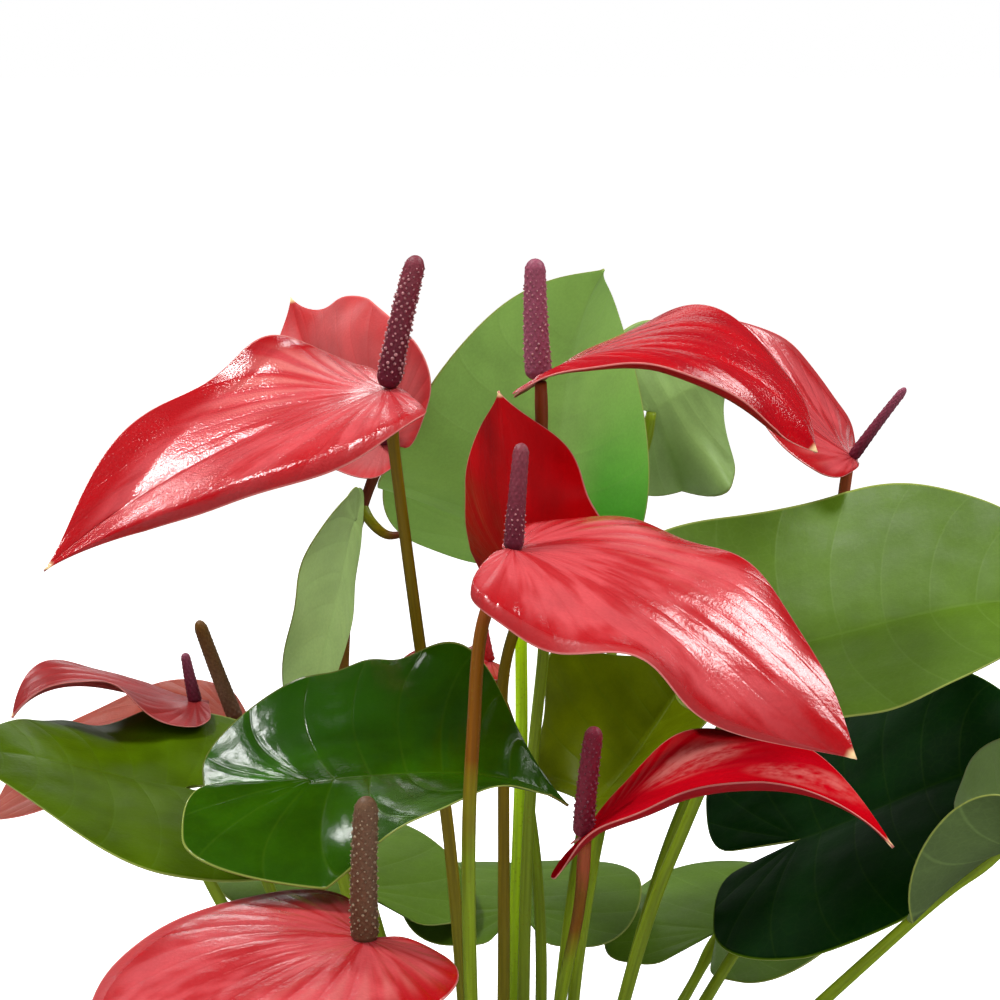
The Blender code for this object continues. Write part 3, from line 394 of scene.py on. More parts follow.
@dataclass
class Skin:
    """How a face of a leaf looks. Colours are names of settings; sizes are millimetres.

    A fold is a side, a flat place, the direction in which a bump tilts the surface up beyond it,
    and by how much; beyond a fold that leans towards the tip the colour darkens as painted shade.
    Painted highlights are pale patches painted into the colour: each a side, a flat place, its
    half length and half width, and its strength. Ridge highlights are pale ridges painted near the
    junction; they and dulling are on the left half where positive and on the right where not.
    """

    colour: str
    vein: str = "leaf_vein"
    rim: str = "leaf_rim"
    vein_share: float = 0.1
    shade: float = 0.9
    roughness: float = 0.45
    gloss: float = 0.2
    pebble: float = 1.4
    swell: float = 0.015
    vein_width: float = 0.5
    vein_depth: float = 0.05
    net: float = 0.03
    streak: float = 0.05
    radiating: bool = False
    edge: float = 0.0
    fold: tuple = ()
    flush: str = ""
    stripe: float = 0.0
    ribbing: float = 0.0
    dulled: float = 0.0
    grain: float = 0.7
    bloom: tuple = ()


@dataclass
class WaxySkin(Skin):
    """How a face of a spathe looks."""

    vein: str = "spathe_deep"
    rim: str = "spathe_rim"
    shade: float = 0.85
    roughness: float = 0.2
    pebble: float = 0.9
    swell: float = 0.02
    vein_depth: float = 0.1
    net: float = 0
    streak: float = 0.1
    radiating: bool = True


SKINS = {
    "red": WaxySkin(
        "spathe_red", vein="spathe_dark", roughness=0.22, gloss=0.45, swell=0.03, vein_width=0.6, streak=0.5,
        edge=0.95, stripe=0.75, ribbing=0.35, dulled=-0.4, grain=0.42,
    ),
    "ridged": WaxySkin(
        "spathe_red", vein="spathe_dark", roughness=0.18, gloss=0.45, pebble=0.7, swell=0.05, vein_width=0.6,
        streak=0.2, edge=0.98, fold=(-1, 72, 1, 0.488, 0.874, 0.36), stripe=0.6, ribbing=-0.6, dulled=0.28,
    ),
    "crimson": WaxySkin(
        "spathe_crimson", gloss=0.35, pebble=0.8, swell=0.06, vein_depth=0.08, edge=0.3,
        fold=(-1, 0, 3, -0.1, 1, -0.3), stripe=0.4, ribbing=0.2,
    ),
    "raised": WaxySkin(
        "spathe_scarlet", roughness=0.22, gloss=0.0, swell=0.03, vein_depth=0.08, streak=0.16, edge=0.5,
        stripe=0.3, ribbing=0.12, bloom=((1, 28, 18, 17, 14, 0.8), (1, 64, 5, 19, 6, 0.7)),
    ),
    "soft": WaxySkin("spathe_soft", vein_share=0.14, roughness=0.5, gloss=0.3, vein_width=0.6, edge=0.65),
    "deep": WaxySkin("spathe_deep", roughness=0.3, gloss=0.04, pebble=1.2, vein_depth=0.06, streak=0.05),
    "dull": WaxySkin("spathe_dull", vein_share=0.2, shade=0.8, roughness=0.34, pebble=1.2, streak=0.08),
    "salmon": WaxySkin(
        "spathe_salmon", vein="spathe_dull", vein_share=0.2, shade=0.9, roughness=0.4, pebble=1.2, streak=0.08,
    ),
    "red under": WaxySkin(
        "spathe_under", vein="spathe_dull", vein_share=0.12, roughness=0.42, gloss=0.1, pebble=1.2,
        vein_width=0.6, vein_depth=-0.1,
    ),
    "bright": Skin("leaf_bright", shade=0.93, roughness=0.42),
    "grey": Skin("leaf_grey", gloss=0.3),
    "pale": Skin("leaf_pale", shade=0.92, gloss=0.3),
    "dark": Skin(
        "leaf_dark", vein="leaf_mid", vein_share=0.12, shade=0.7, roughness=0.2, gloss=0.1, swell=0.02,
        vein_width=0.6, vein_depth=0.14, streak=0.4, flush="leaf_fresh",
    ),
    "olive": Skin(
        "leaf_olive", vein="leaf_mid", vein_share=0.14, shade=0.75, roughness=0.35, gloss=0.04, swell=0.02,
        vein_depth=0.08, net=0.04, streak=0.06,
    ),
    "lit": Skin(
        "leaf_lit", vein="leaf_mid", vein_share=0.14, shade=0.75, roughness=0.35, gloss=0.04, swell=0.02,
        vein_depth=0.08, net=0.04, streak=0.06,
    ),
    "mid": Skin("leaf_mid", vein_share=0.08, net=0.04),
    "shade": Skin(
        "leaf_shade", vein="leaf_mid", rim="leaf_mid", vein_share=0.05, shade=0.8, gloss=0.02, vein_depth=0.06,
        net=0.02,
    ),
    "leaf under": Skin("leaf_under", vein_share=0.2, roughness=0.55, vein_width=0.6, vein_depth=-0.1, net=0.06),
    "bright under": Skin(
        "leaf_bright", vein_share=0.08, shade=0.93, roughness=0.5, gloss=0.15, vein_width=0.6, vein_depth=-0.06,
        flush="leaf_vivid",
    ),
    "grey under": Skin("leaf_grey", roughness=0.5, vein_width=0.6, vein_depth=-0.06),
}

# Each stalk's colours from the soil to the blade.
STALKS = {
    "olive": ((0, "stalk_green"), (0.6, "stalk_olive"), (1, "stalk_olive")),
    "russet": (
        (0, "stalk_green"), (0.77, "stalk_green"), (0.84, "stalk_brown"), (0.91, "stalk_brown"),
        (0.97, "stalk_red"),
    ),
    "maroon": ((0, "stalk_green"), (0.6, "stalk_olive"), (0.8, "stalk_maroon"), (1, "stalk_maroon")),
    "green": ((0, "stalk_green"), (1, "stalk_bright")),
    "lime": ((0, "stalk_green"), (0.5, "stalk_lime"), (1, "stalk_lime")),
}


@dataclass
class Spike:
    """How a spadix looks: the colours of its foot, tip and stigmas, and where those stand."""

    foot: str = "spike_plum"
    tip: str = "spike_mauve"
    bead: str = "bead_pink"
    first: float = 0.05
    last: float = 0.95
    size: float = 0.0
    slot: str = "spadix_plum"


SPIKES = {
    "plum": Spike(tip="spike_rose", last=0.93, size=0.42),
    "mauve": Spike("spike_mauve", last=0.9, size=0.3),
    "half": Spike(tip="spike_rose", last=0.45, size=0.24),
    "magenta": Spike("spike_magenta", "spike_magenta", "bead_rose", size=0.3),
    "brown": Spike("spike_brown", "spike_brown", "bead_cream", size=0.3, slot="spadix_brown"),
    "olive": Spike("spike_brown", "spike_olive", slot="spadix_olive"),
    "young": Spike("spathe_deep", "spathe_red"),
    "smooth": Spike(),
}

# Slot names of the leaves' looks that have one of their own.
LEAF_SLOTS = {look: "leaf_" + look for look in ("bright", "grey", "pale", "dark", "olive", "shade")}
LEAF_SLOTS["lit"] = "leaf_olive"


def at_fraction(triple, fraction):
    """The smooth value between those at the start, the middle and the end."""
    start, middle, end = triple
    rest = 1 - fraction
    return (
        start * rest * (1 - 2 * fraction)
        + middle * 4 * fraction * rest
        + end * fraction * (2 * fraction - 1)
    )


def bezier(start, pull_start, pull_end, end, count):
    """Points along one cubic arc."""
    t = np.linspace(0, 1, count)[:, None]
    ends = np.array([start, pull_start, pull_end, end], float)
    weights = ((1 - t) ** 3, 3 * t * (1 - t) ** 2, 3 * t**2 * (1 - t), t**3)
    return sum(weight * point for weight, point in zip(weights, ends))


def along_line(points, places):
    """Points of a polyline at fractions of its length."""
    steps = np.linalg.norm(np.diff(points, axis=0), axis=1)
    along = np.concatenate([[0], np.cumsum(steps)])
    wanted = np.asarray(places) * along[-1]
    return np.stack([np.interp(wanted, along, column) for column in points.T], axis=-1)


def unit(vector):
    """A vector's direction."""
    return vector / np.linalg.norm(vector)


def half_outline(blade, width, lobe):
    """The flat margin of one half: inner lobe corner, round lobe, widest place, tip."""
    widest, sinus, shoulder, acumen = blade.outline
    run = (1 - widest) * blade.length
    widest = widest * blade.length
    rear = (-lobe, 0.52 * width)
    wide = (widest, width)
    inner = (-0.72 * lobe, 0.45 * sinus * width)
    turn = (-0.97 * lobe, (0.5 * sinus + 0.02) * width)
    lobe_arc = bezier(inner, turn, (-lobe, 0.3 * width), rear, 40)
    side_arc = bezier(rear, (-lobe, 0.8 * width), (0.1 * widest - 0.35 * lobe, width), wide, 60)
    tip_pull = (blade.length - acumen * run, 0.16 * width)
    tip_arc = bezier(wide, (widest + shoulder * run, width), tip_pull, (blade.length, 0), 100)
    return np.vstack([lobe_arc, side_arc[1:], tip_arc[1:]])


def midrib_axes(blade, fraction):
    """Unit vectors along the midrib, to its left and out of the upper face."""
    turns = (blade.heading, blade.pitch, blade.roll)
    heading, pitch, roll = (np.radians(at_fraction(turn, fraction))[..., None] for turn in turns)
    level = np.cos(pitch)
    along = np.concatenate([level * np.cos(heading), level * np.sin(heading), np.sin(pitch)], axis=-1)
    side = np.concatenate([-np.sin(heading), np.cos(heading), 0 * heading], axis=-1)
    upright = np.cross(along, side)
    left = side * np.cos(roll) + upright * np.sin(roll)
    face = upright * np.cos(roll) - side * np.sin(roll)
    return along, left, face


def midrib_points(blade):
    """The midrib's curve from the junction to the tip."""
    middles = (np.arange(MIDRIB_STEPS) + 0.5) / MIDRIB_STEPS
    along, _, _ = midrib_axes(blade, middles)
    steps = along * blade.length / MIDRIB_STEPS
    return np.vstack([[0, 0, 0], np.cumsum(steps, axis=0)]) + np.array(blade.at, float)


def bend(blade, x, y, to_margin):
    """Carry flat places, x along the midrib and y to its left, to where the bent blade has them.

    to_margin is how far each place is from the midrib, 0, to the margin, 1.
    """
    fraction = np.clip(x / blade.length, 0, 1)
    curve = midrib_points(blade)
    centre = along_line(curve, fraction)
    along, left, face = midrib_axes(blade, fraction)
    on_left = y >= 0

    def sided(triples):
        return np.where(on_left, *(at_fraction(triple, fraction) for triple in triples))

    behind = np.minimum(x, 0)
    fallen = -CREASE * np.log1p(np.exp(-x / CREASE))
    lift = np.radians(np.where(on_left, *blade.lobe_lift))
    centre = centre + along * (behind * np.cos(lift))[..., None] - face * (fallen * np.sin(lift))[..., None]
    width = np.where(on_left, *blade.half_widths)
    across = np.abs(y) / width
    slope = np.radians(sided(blade.slopes))
    turn = np.radians(sided(blade.edges)) - slope
    turn = np.where(np.abs(turn) < 1e-4, 1e-4, turn)
    reach = width * (np.sin(slope + turn * across) - np.sin(slope)) / turn
    rise = width * (np.cos(slope) - np.cos(slope + turn * across)) / turn
    for place, *lifts in zip(WAVE_PLACES, *blade.waves):
        bump = np.exp(-(((fraction - place) / WAVE_SPREAD) ** 2))
        rise = rise + np.where(on_left, *lifts) * bump * across**2
    curl = sided(blade.curls)
    turned = np.clip((to_margin - CURL_START) / (1 - CURL_START), 0, 1) ** 1.6
    turned = turned * np.clip(np.abs(y[:, -1:]) / 14, 0, 1)
    reach = reach - 0.55 * np.abs(curl) * turned
    reach = reach * np.where(on_left, 1, -1)
    return centre + left * reach[..., None] + face * (rise + curl * turned)[..., None]


def flat_grid(blade, side, rows, columns):
    """Flat places of one half, in rows from the midrib to the margin."""
    which = 0 if side > 0 else 1
    margin = half_outline(blade, blade.half_widths[which], blade.lobes[which])
    row = np.linspace(0, ROWS, rows + 1)
    margin = along_line(margin, row / ROWS)
    start = blade.length * np.clip((row - FAN_ROWS) / (ROWS - FAN_ROWS), 0, 1)
    across = 1 - (1 - np.linspace(0, 1, columns + 1)) ** 1.25
    x = start[:, None] * (1 - across) + margin[:, :1] * across
    y = margin[:, 1:] * across
    return row, across, x, y


def feather_ribs(blade, row, across, x, y):
    """Vein numbers of a leaf: side veins that fan at the base and sweep forward to the margin."""
    sweep = 1.1 * across**2 * np.clip(row / ROWS * 2, 0.15, 1)[:, None]
    return 0.85 * (row[:, None] - sweep)


def arching_ribs(blade, row, across, x, y):
    """Vein numbers of a spathe: veins that leave the junction and arch to the tip."""
    left = np.clip(1 - x / blade.length, 0.002, 1)
    forward = np.where(x > 0, x * left**0.62, x)
    return np.arctan2(np.abs(y) + 1e-6, forward) / math.radians(10)


def rib_gaps(ribs, x, y):
    """Local distance between neighbouring veins, in millimetres."""
    rib_row, rib_across = np.gradient(ribs)
    x_row, x_across = np.gradient(x)
    y_row, y_across = np.gradient(y)
    area = x_row * y_across - x_across * y_row
    area = np.where(np.abs(area) < 1e-4, 1e-4, area)
    along_x = (rib_row * y_across - rib_across * y_row) / area
    along_y = (rib_across * x_row - rib_row * x_across) / area
    return np.clip(1 / np.maximum(np.hypot(along_x, along_y), 1e-3), 0.05, 30)


def quilting(ribs, gaps, across, away, depth, spread):
    """How far the blade swells between its veins, less and less away from the junction."""
    swell = 0.5 - 0.5 * np.cos(2 * math.pi * ribs)
    fade = np.clip(gaps / 4, 0, 1) * np.clip((1 - across) * 5, 0, 1) * np.clip(across * 8, 0, 1)
    uneven = 0.6 + 0.4 * np.sin(2.3 * ribs + 1)
    return depth * swell * fade * uneven * np.clip(1.15 - away / spread, 0.12, 1)


def new_mesh(name, vertices, faces, sharp=None):
    """A smooth mesh of points in millimetres, with edges where it bends by more than sharp degrees."""
    mesh = bpy.data.meshes.new(name)
    mesh.from_pydata((np.array(vertices) * MM).tolist(), [], faces)
    mesh.shade_smooth()
    if sharp:
        mesh.set_sharp_from_angle(angle=math.radians(sharp))
    return mesh


def add_uvs(mesh, title, places):
    """A UV map with a place for each corner of each face."""
    layer = mesh.uv_layers.new(name=title)
    layer.data.foreach_set("uv", np.array(places, dtype=np.float32).ravel())


def blade_mesh(name, blade, ribs_of, grid, thickness, quilt):
    """A closed mesh of a blade: quilted faces and a thin margin.

    UV maps: ribs holds vein number and vein gap, flat holds the distances from the junction and
    the midrib, and place holds the fractions across, left of the midrib positive, and along.
    """
    rows, columns = grid
    points, swells, thick, corners = [], [], [], []
    uvs = {"ribs": [], "flat": [], "place": []}
    shared = {}
    for side in (1, -1):
        row, across, x, y = flat_grid(blade, side, rows, columns)
        place = bend(blade, x, side * np.maximum(y, 1e-9), across)
        ribs = ribs_of(blade, row, across, x, y)
        gaps = rib_gaps(ribs, x, y)
        swell = quilting(ribs, gaps, np.broadcast_to(across, x.shape), np.hypot(x, y), *quilt)
        ids = np.zeros(x.shape, int)
        for i, j in np.ndindex(x.shape):
            on_midrib = j == 0 or i == rows
            key = round(float(x[i, 0 if i < rows else j]), 4) if on_midrib else (side, i, j)
            if key not in shared:
                shared[key] = len(points)
                points.append(place[i, j])
                swells.append(0 if on_midrib else swell[i, j])
                thick.append(thickness * (1 - 0.62 * across[j] ** 2 * (i < rows)))
            ids[i, j] = shared[key]
        for i, j in np.ndindex(rows, columns):
            cells = [(i, j), (i + 1, j), (i + 1, j + 1), (i, j + 1)][::side]
            cells = [c for k, c in enumerate(cells) if ids[c] != ids[cells[k - 1]]]
            if len(cells) < 3:
                continue
            corners.append([ids[c] for c in cells])
            uvs["ribs"].append([(ribs[c], gaps[c]) for c in cells])
            uvs["flat"].append([(x[c], abs(y[c])) for c in cells])
            uvs["place"].append([(side * across[c[1]], row[c[0]] / ROWS) for c in cells])
    points = np.array(points)
    normals = np.zeros_like(points)
    for face in corners:
        a, b, c = points[face[:3]]
        normals[face] += np.cross(b - a, c - a)
    normals /= np.maximum(np.linalg.norm(normals, axis=1), 1e-12)[:, None]
    raised = points + normals * np.array(swells)[:, None]
    half = normals * np.array(thick)[:, None] / 2
    return closed_sheet(name, raised + half, raised - half, corners, uvs)


def closed_sheet(name, upper, lower, corners, uvs):
    """An upper face, a lower face and a rim between them, with a material slot for each."""
    count = len(upper)
    edges = {edge: True for face in corners for edge in zip(face, face[1:] + face[:1])}
    rim = [(v, n) for v, n in edges if (n, v) not in edges]
    faces = [*corners, *([v + count for v in reversed(face)] for face in corners)]
    faces += [[n, v, v + count, n + count] for v, n in rim]
    mesh = new_mesh(name, np.vstack([upper, lower]), faces)
    slots = [0] * len(corners) + [1] * len(corners) + [2] * len(rim)
    mesh.polygons.foreach_set("material_index", slots)
    rim_places = {"ribs": (0.5, 5.0), "flat": (0.0, 30.0), "place": (1.0, 0.5)}
    for title, values in uvs.items():
        places = [place for face in values for place in face]
        places += [place for face in values for place in reversed(face)]
        add_uvs(mesh, title, places + [rim_places[title]] * (4 * len(rim)))
    mesh.validate()
    return mesh


def smooth_route(points, spacing):
    """A smooth curve through the route's points."""
    points = np.array(points, float)
    ends = np.vstack([2 * points[0] - points[1], points, 2 * points[-1] - points[-2]])
    t = np.linspace(0, 1, 16, endpoint=False)[:, None]
    curve = []
    for before, start, end, after in zip(ends, ends[1:], ends[2:], ends[3:]):
        curved = 2 * before - 5 * start + 4 * end - after
        eased = 3 * start - before - 3 * end + after
        curve.append(0.5 * (2 * start + (end - before) * t + curved * t**2 + eased * t**3))
    curve = np.vstack([*curve, points[-1:]])
    length = np.linalg.norm(np.diff(curve, axis=0), axis=1).sum()
    return along_line(curve, np.linspace(0, 1, max(3, round(length / spacing) + 1)))


def skin_faces(sides, rings, closed=True):
    """Faces over a foot, rings of points and, where closed, a tip, numbered in that order."""
    faces = []
    last = 1 + (rings - 1) * sides
    for k in range(sides):
        n = (k + 1) % sides
        faces.append([0, 1 + n, 1 + k])
        for low in range(1, last, sides):
            high = low + sides
            faces.append([low + k, low + n, high + n, high + k])
        if closed:
            faces.append([last + k, last + n, last + sides])
    return faces


def tube_mesh(name, curve, radii, sides, offsets=0):
    """A closed tube about a curve, with the UV map place: around, along."""
    side = np.cross(unit(curve[1] - curve[0]), (0.3, 1, 0.1))
    turns = np.linspace(0, 2 * math.pi, sides, endpoint=False)[:, None]
    spreads = np.broadcast_to(radii[:, None] + offsets, (len(curve), sides))
    rings = []
    for centre, step, spread in zip(curve, np.gradient(curve, axis=0), spreads):
        axis = unit(step)
        side = unit(side - axis * np.dot(side, axis))
        rings.append(centre + spread[:, None] * (np.cos(turns) * side + np.sin(turns) * np.cross(axis, side)))
    count = len(rings)
    mesh = new_mesh(name, np.vstack([curve[:1], *rings, curve[-1:]]), skin_faces(sides, count))
    heights = [i / (count - 1) for i in range(count)]
    places = []
    for k in range(sides):
        here, there = k / sides, (k + 1) / sides
        places += [(here, 0)] * 3
        for low, high in zip(heights, heights[1:]):
            places += [(here, low), (there, low), (there, high), (here, high)]
        places += [(here, 1)] * 3
    add_uvs(mesh, "place", places)
    mesh.validate()
    return mesh


def junction(blade):
    """The junction's place and the upper face's direction there."""
    _, _, face = midrib_axes(blade, np.array(0.0))
    return np.array(blade.at, float), face


def stalk_mesh(name, plant, foot, top, knee, seat):
    """A stalk from the soil to its blade, with a swollen joint at the top."""
    place, face = junction(plant)
    start = [(*plant.soil, STALK_START), (*plant.soil, SOIL_TOP + 2 * SOIL_RELIEF)]
    curve = smooth_route([*start, *plant.route, tuple(place - face * seat)], STALK_STEP)
    t = np.linspace(0, 1, len(curve))
    length = np.linalg.norm(np.diff(curve, axis=0), axis=1).sum()
    thick = foot + (top - foot) * t
    thick = thick + knee * np.exp(-((((1 - t) * length - 7) / 6) ** 2))
    thick = thick + 0.35 * np.exp(-((t * length / 6) ** 2))
    return tube_mesh(name, curve, thick, STALK_SIDES)


def spadix_mesh(name, flower, beads_round, bead_step):
    """A tapering spike of florets that swell like scales between fine grooves."""
    place, _ = junction(flower)
    tip, base_radius, tip_radius = flower.spadix
    way = np.array(tip, float) - place
    length = np.linalg.norm(way)
    t = np.linspace(0, 1, round(length / SPADIX_STEP) + 1)
    bow = unit(np.cross(way, (0, 0.3, 1)))
    curve = place + way * t[:, None] + bow * (0.012 * length * np.sin(math.pi * t))[:, None]
    end = np.clip((t - 0.9) / 0.1, 0, 1)
    round_end = np.sqrt(np.clip(1 - end**2, 0.0, 1))
    neck = 0.5 + 0.5 * np.clip(t / 0.06, 0, 1) ** 0.5
    radii = np.maximum((base_radius + (tip_radius - base_radius) * t) * round_end * neck, 0.05)
    sides = 6 * beads_round
    around = beads_round * np.linspace(0, 1, sides, endpoint=False)
    up = t[:, None] * length / (2 * bead_step)
    scale = 1
    for spiral in (around + up, around - up):
        scale = scale * (0.5 + 0.5 * np.cos(2 * math.pi * spiral))
    fade = np.clip((1 - t) * 12, 0, 1) * np.clip(t * 14, 0, 1)
    offsets = FLORET_DEPTH * (scale**0.6 - 0.4) * fade[:, None]
    return tube_mesh(name, curve, radii, sides, offsets), curve, radii


def bead_places(curve, radii, spike, beads_round, bead_step):
    """Centre, outward direction and size of each bead: one at the middle of each floret."""
    chance = np.random.default_rng(BEAD_SEED)
    length = np.linalg.norm(curve[-1] - curve[0])
    axis = (curve[-1] - curve[0]) / length
    side = unit(np.cross(axis, (0.3, 1, 0.1)))
    other = np.cross(axis, side)
    grid = np.linspace(0, 1, len(curve))
    for m in range(1, int(length / bead_step)):
        t = m * bead_step / length
        if not spike.first <= t <= spike.last:
            continue
        grow = min(1.0, (t - spike.first) * 6 + 0.4, (spike.last - t) * 4 + 0.35)
        for k in range(beads_round):
            here = t + chance.uniform(-0.3, 0.3) * bead_step / length
            turn = 2 * math.pi * (k + 0.5 * (m % 2) + chance.uniform(-0.2, 0.2)) / beads_round
            size = grow * chance.uniform(0.55, 1.25) * spike.size
            *centre, radius = (np.interp(here, grid, column) for column in (*curve.T, radii))
            out = math.cos(turn) * side + math.sin(turn) * other
            yield centre + out * (radius + 0.1), out, size


def beads_mesh(name, beads):
    """Small rounded stigmas, each a flattened ball sunk half into its floret."""
    vertices, faces = [], []
    pattern = skin_faces(6, 3)
    for centre, out, size in beads:
        side = unit(np.cross(out, (0.2, 0.5, 1)))
        other = np.cross(out, side)
        flats = [math.cos(turn) * side + math.sin(turn) * other for turn in np.arange(6) * math.pi / 3]
        ball = [-0.4 * out]
        for height, width in ((0.0, 1.0), (0.6, 0.8), (0.95, 0.35)):
            ball += [flat * width + out * height * 1.1 for flat in flats]
        ball.append(1.15 * out)
        faces += [[len(vertices) + v for v in face] for face in pattern]
        vertices += [centre + size * point for point in ball]
    return new_mesh(name, vertices, faces)


class Value:
    """A node's output in a material. Arithmetic on it adds the Math nodes."""

    def __init__(self, finish, socket):
        self.finish = finish
        self.socket = socket

    def maths(self, operation, *values):
        return self.finish.node("ShaderNodeMath", {"operation": operation}, dict(enumerate(values)))

    def __add__(self, other):
        return self.maths("ADD", self, other)

    __radd__ = __add__

    def __sub__(self, other):
        return self.maths("SUBTRACT", self, other)

    def __rsub__(self, other):
        return self.maths("SUBTRACT", other, self)

    def __mul__(self, other):
        return self.maths("MULTIPLY", self, other)

    __rmul__ = __mul__

    def __truediv__(self, other):
        return self.maths("DIVIDE", self, other)

    def __rtruediv__(self, other):
        return self.maths("DIVIDE", other, self)

    def __pow__(self, other):
        return self.maths("POWER", self, other)

    def __abs__(self):
        return self.maths("ABSOLUTE", self)

    def fraction(self):
        return self.maths("FRACT", self)

    def rise(self, low, high):
        """A smooth step from 0 at low to 1 at high."""
        sockets = {"Value": self, "From Min": low, "From Max": high}
        return self.finish.node("ShaderNodeMapRange", {"interpolation_type": "SMOOTHSTEP"}, sockets)

    def most(self, other):
        """The greater of two values."""
        return self.maths("MAXIMUM", self, other)

    def near(self, low, high):
        """1 up to low, falling smoothly to 0 at high."""
        return 1 - self.rise(low, high)

    def output(self, name):
        """Another output of the same node."""
        return Value(self.finish, self.socket.node.outputs[name])


class Shading:
    """A node tree under construction, round its own shader."""

    def __init__(self, tree, shader, constants):
        self.tree = tree
        self.shader = tree.nodes[shader]
        for socket, value in constants.items():
            self.shader.inputs[socket].default_value = value

    def node(self, kind, settings=None, sockets=None, output=0):
        """Add a node: its settings first, then the values or links of its sockets."""
        made = self.tree.nodes.new(kind)
        for key, value in (settings or {}).items():
            if key == "stops":
                stops = made.color_ramp.elements
                while len(stops) < len(value):
                    stops.new(1)
                for stop, (position, colour) in zip(stops, value):
                    stop.position = position
                    stop.color = (*colour, 1)
            else:
                setattr(made, key, value)
        for key, value in (sockets or {}).items():
            if isinstance(key, int):
                socket = made.inputs[key]
            else:
                socket = next(s for s in made.inputs if s.name == key and s.enabled)
            if isinstance(value, Value):
                self.tree.links.new(value.socket, socket)
            elif socket.type == "RGBA":
                socket.default_value = (*value, 1)
            else:
                socket.default_value = value
        enabled = [s for s in made.outputs if s.enabled]
        if isinstance(output, int):
            return Value(self, enabled[output])
        return Value(self, next(s for s in enabled if s.name == output))

    def ramp(self, value, stops):
        """The colour at a value between stops, each a position and a colour."""
        return self.node("ShaderNodeValToRGB", {"stops": stops}, {0: value}, "Color")

    def feed(self, socket, value):
        """Link a value to one of the shader's own sockets."""
        self.tree.links.new(value.socket, self.shader.inputs[socket])


class Finish(Shading):
    """A material under construction."""

    def __init__(self, name, constants):
        self.material = bpy.data.materials.new(name)
        self.material.use_nodes = True
        super().__init__(self.material.node_tree, "Principled BSDF", constants)

    def place(self):
        """The point's place on the object, in metres."""
        return self.node("ShaderNodeTexCoord", output="Object")

    def pair(self, layer):
        """Both numbers of a UV map."""
        split = self.node("ShaderNodeSeparateXYZ", sockets={0: self.node("ShaderNodeUVMap", {"uv_map": layer})})
        return split, split.output("Y")

    def vector(self, *values):
        """A vector of up to three values."""
        return self.node("ShaderNodeCombineXYZ", None, dict(enumerate(values)))

    def noise(self, size, detail=2.0, roughness=0.5, vector=None):
        """Soft noise from 0 to 1 whose lumps are about size millimetres, or 1 in a vector's own space."""
        sockets = {"Vector": vector or self.place(), "Scale": 1 / (size * MM)}
        sockets.update(Detail=detail, Roughness=roughness)
        return self.node("ShaderNodeTexNoise", None, sockets)

    def cells(self, size, feature="F1"):
        """Distance to the middle or the edge of cells about size millimetres across."""
        sockets = {"Vector": self.place(), "Scale": 1 / (size * MM)}
        return self.node("ShaderNodeTexVoronoi", {"feature": feature}, sockets, "Distance")

    def mix(self, factor, one, other):
        """Blend two colours."""
        return self.node("ShaderNodeMix", {"data_type": "RGBA"}, {"Factor": factor, "A": one, "B": other})

    def mottled(self, one, other, size, detail=2.0, low=0.3, high=0.7):
        """Two colours in soft blotches of about size millimetres."""
        return self.mix(self.noise(size, detail).rise(low, high), one, other)

    def scaled(self, colour, factor):
        """A colour made lighter or darker by a value."""
        grey = self.vector(factor, factor, factor)
        return self.node("ShaderNodeVectorMath", {"operation": "MULTIPLY"}, {0: colour, 1: grey})

    def relief(self, height):
        """Raise the surface by a height in millimetres."""
        bump = self.node("ShaderNodeBump", None, {"Strength": 1.0, "Distance": MM, "Height": height})
        self.feed("Normal", bump)


def linear(red, green, blue):
    """A colour given as it looks on a screen, 0 to 255, as light."""
    shades = [value / 255 for value in (red, green, blue)]
    return tuple(s / 12.92 if s <= 0.04045 else ((s + 0.055) / 1.055) ** 2.4 for s in shades)


def settings():
    """The sidebar's sizes and colours."""
    return bpy.context.scene.anthurium


def colour(name, share=1.0):
    """A colour of the sidebar by name, darker by a share."""
    return tuple(share * c for c in getattr(settings(), name))


def blended(one, other, share):
    """Two colours mixed as numbers."""
    return tuple(a * (1 - share) + b * share for a, b in zip(one, other))


def made_once(build):
    """A function's material for each name is built at its first use."""
    kind = build.__name__.removesuffix("_finish")

    def finish_of(name):
        title = f"{kind} {name}"
        return bpy.data.materials.get(title) or build(title, name)

    return finish_of


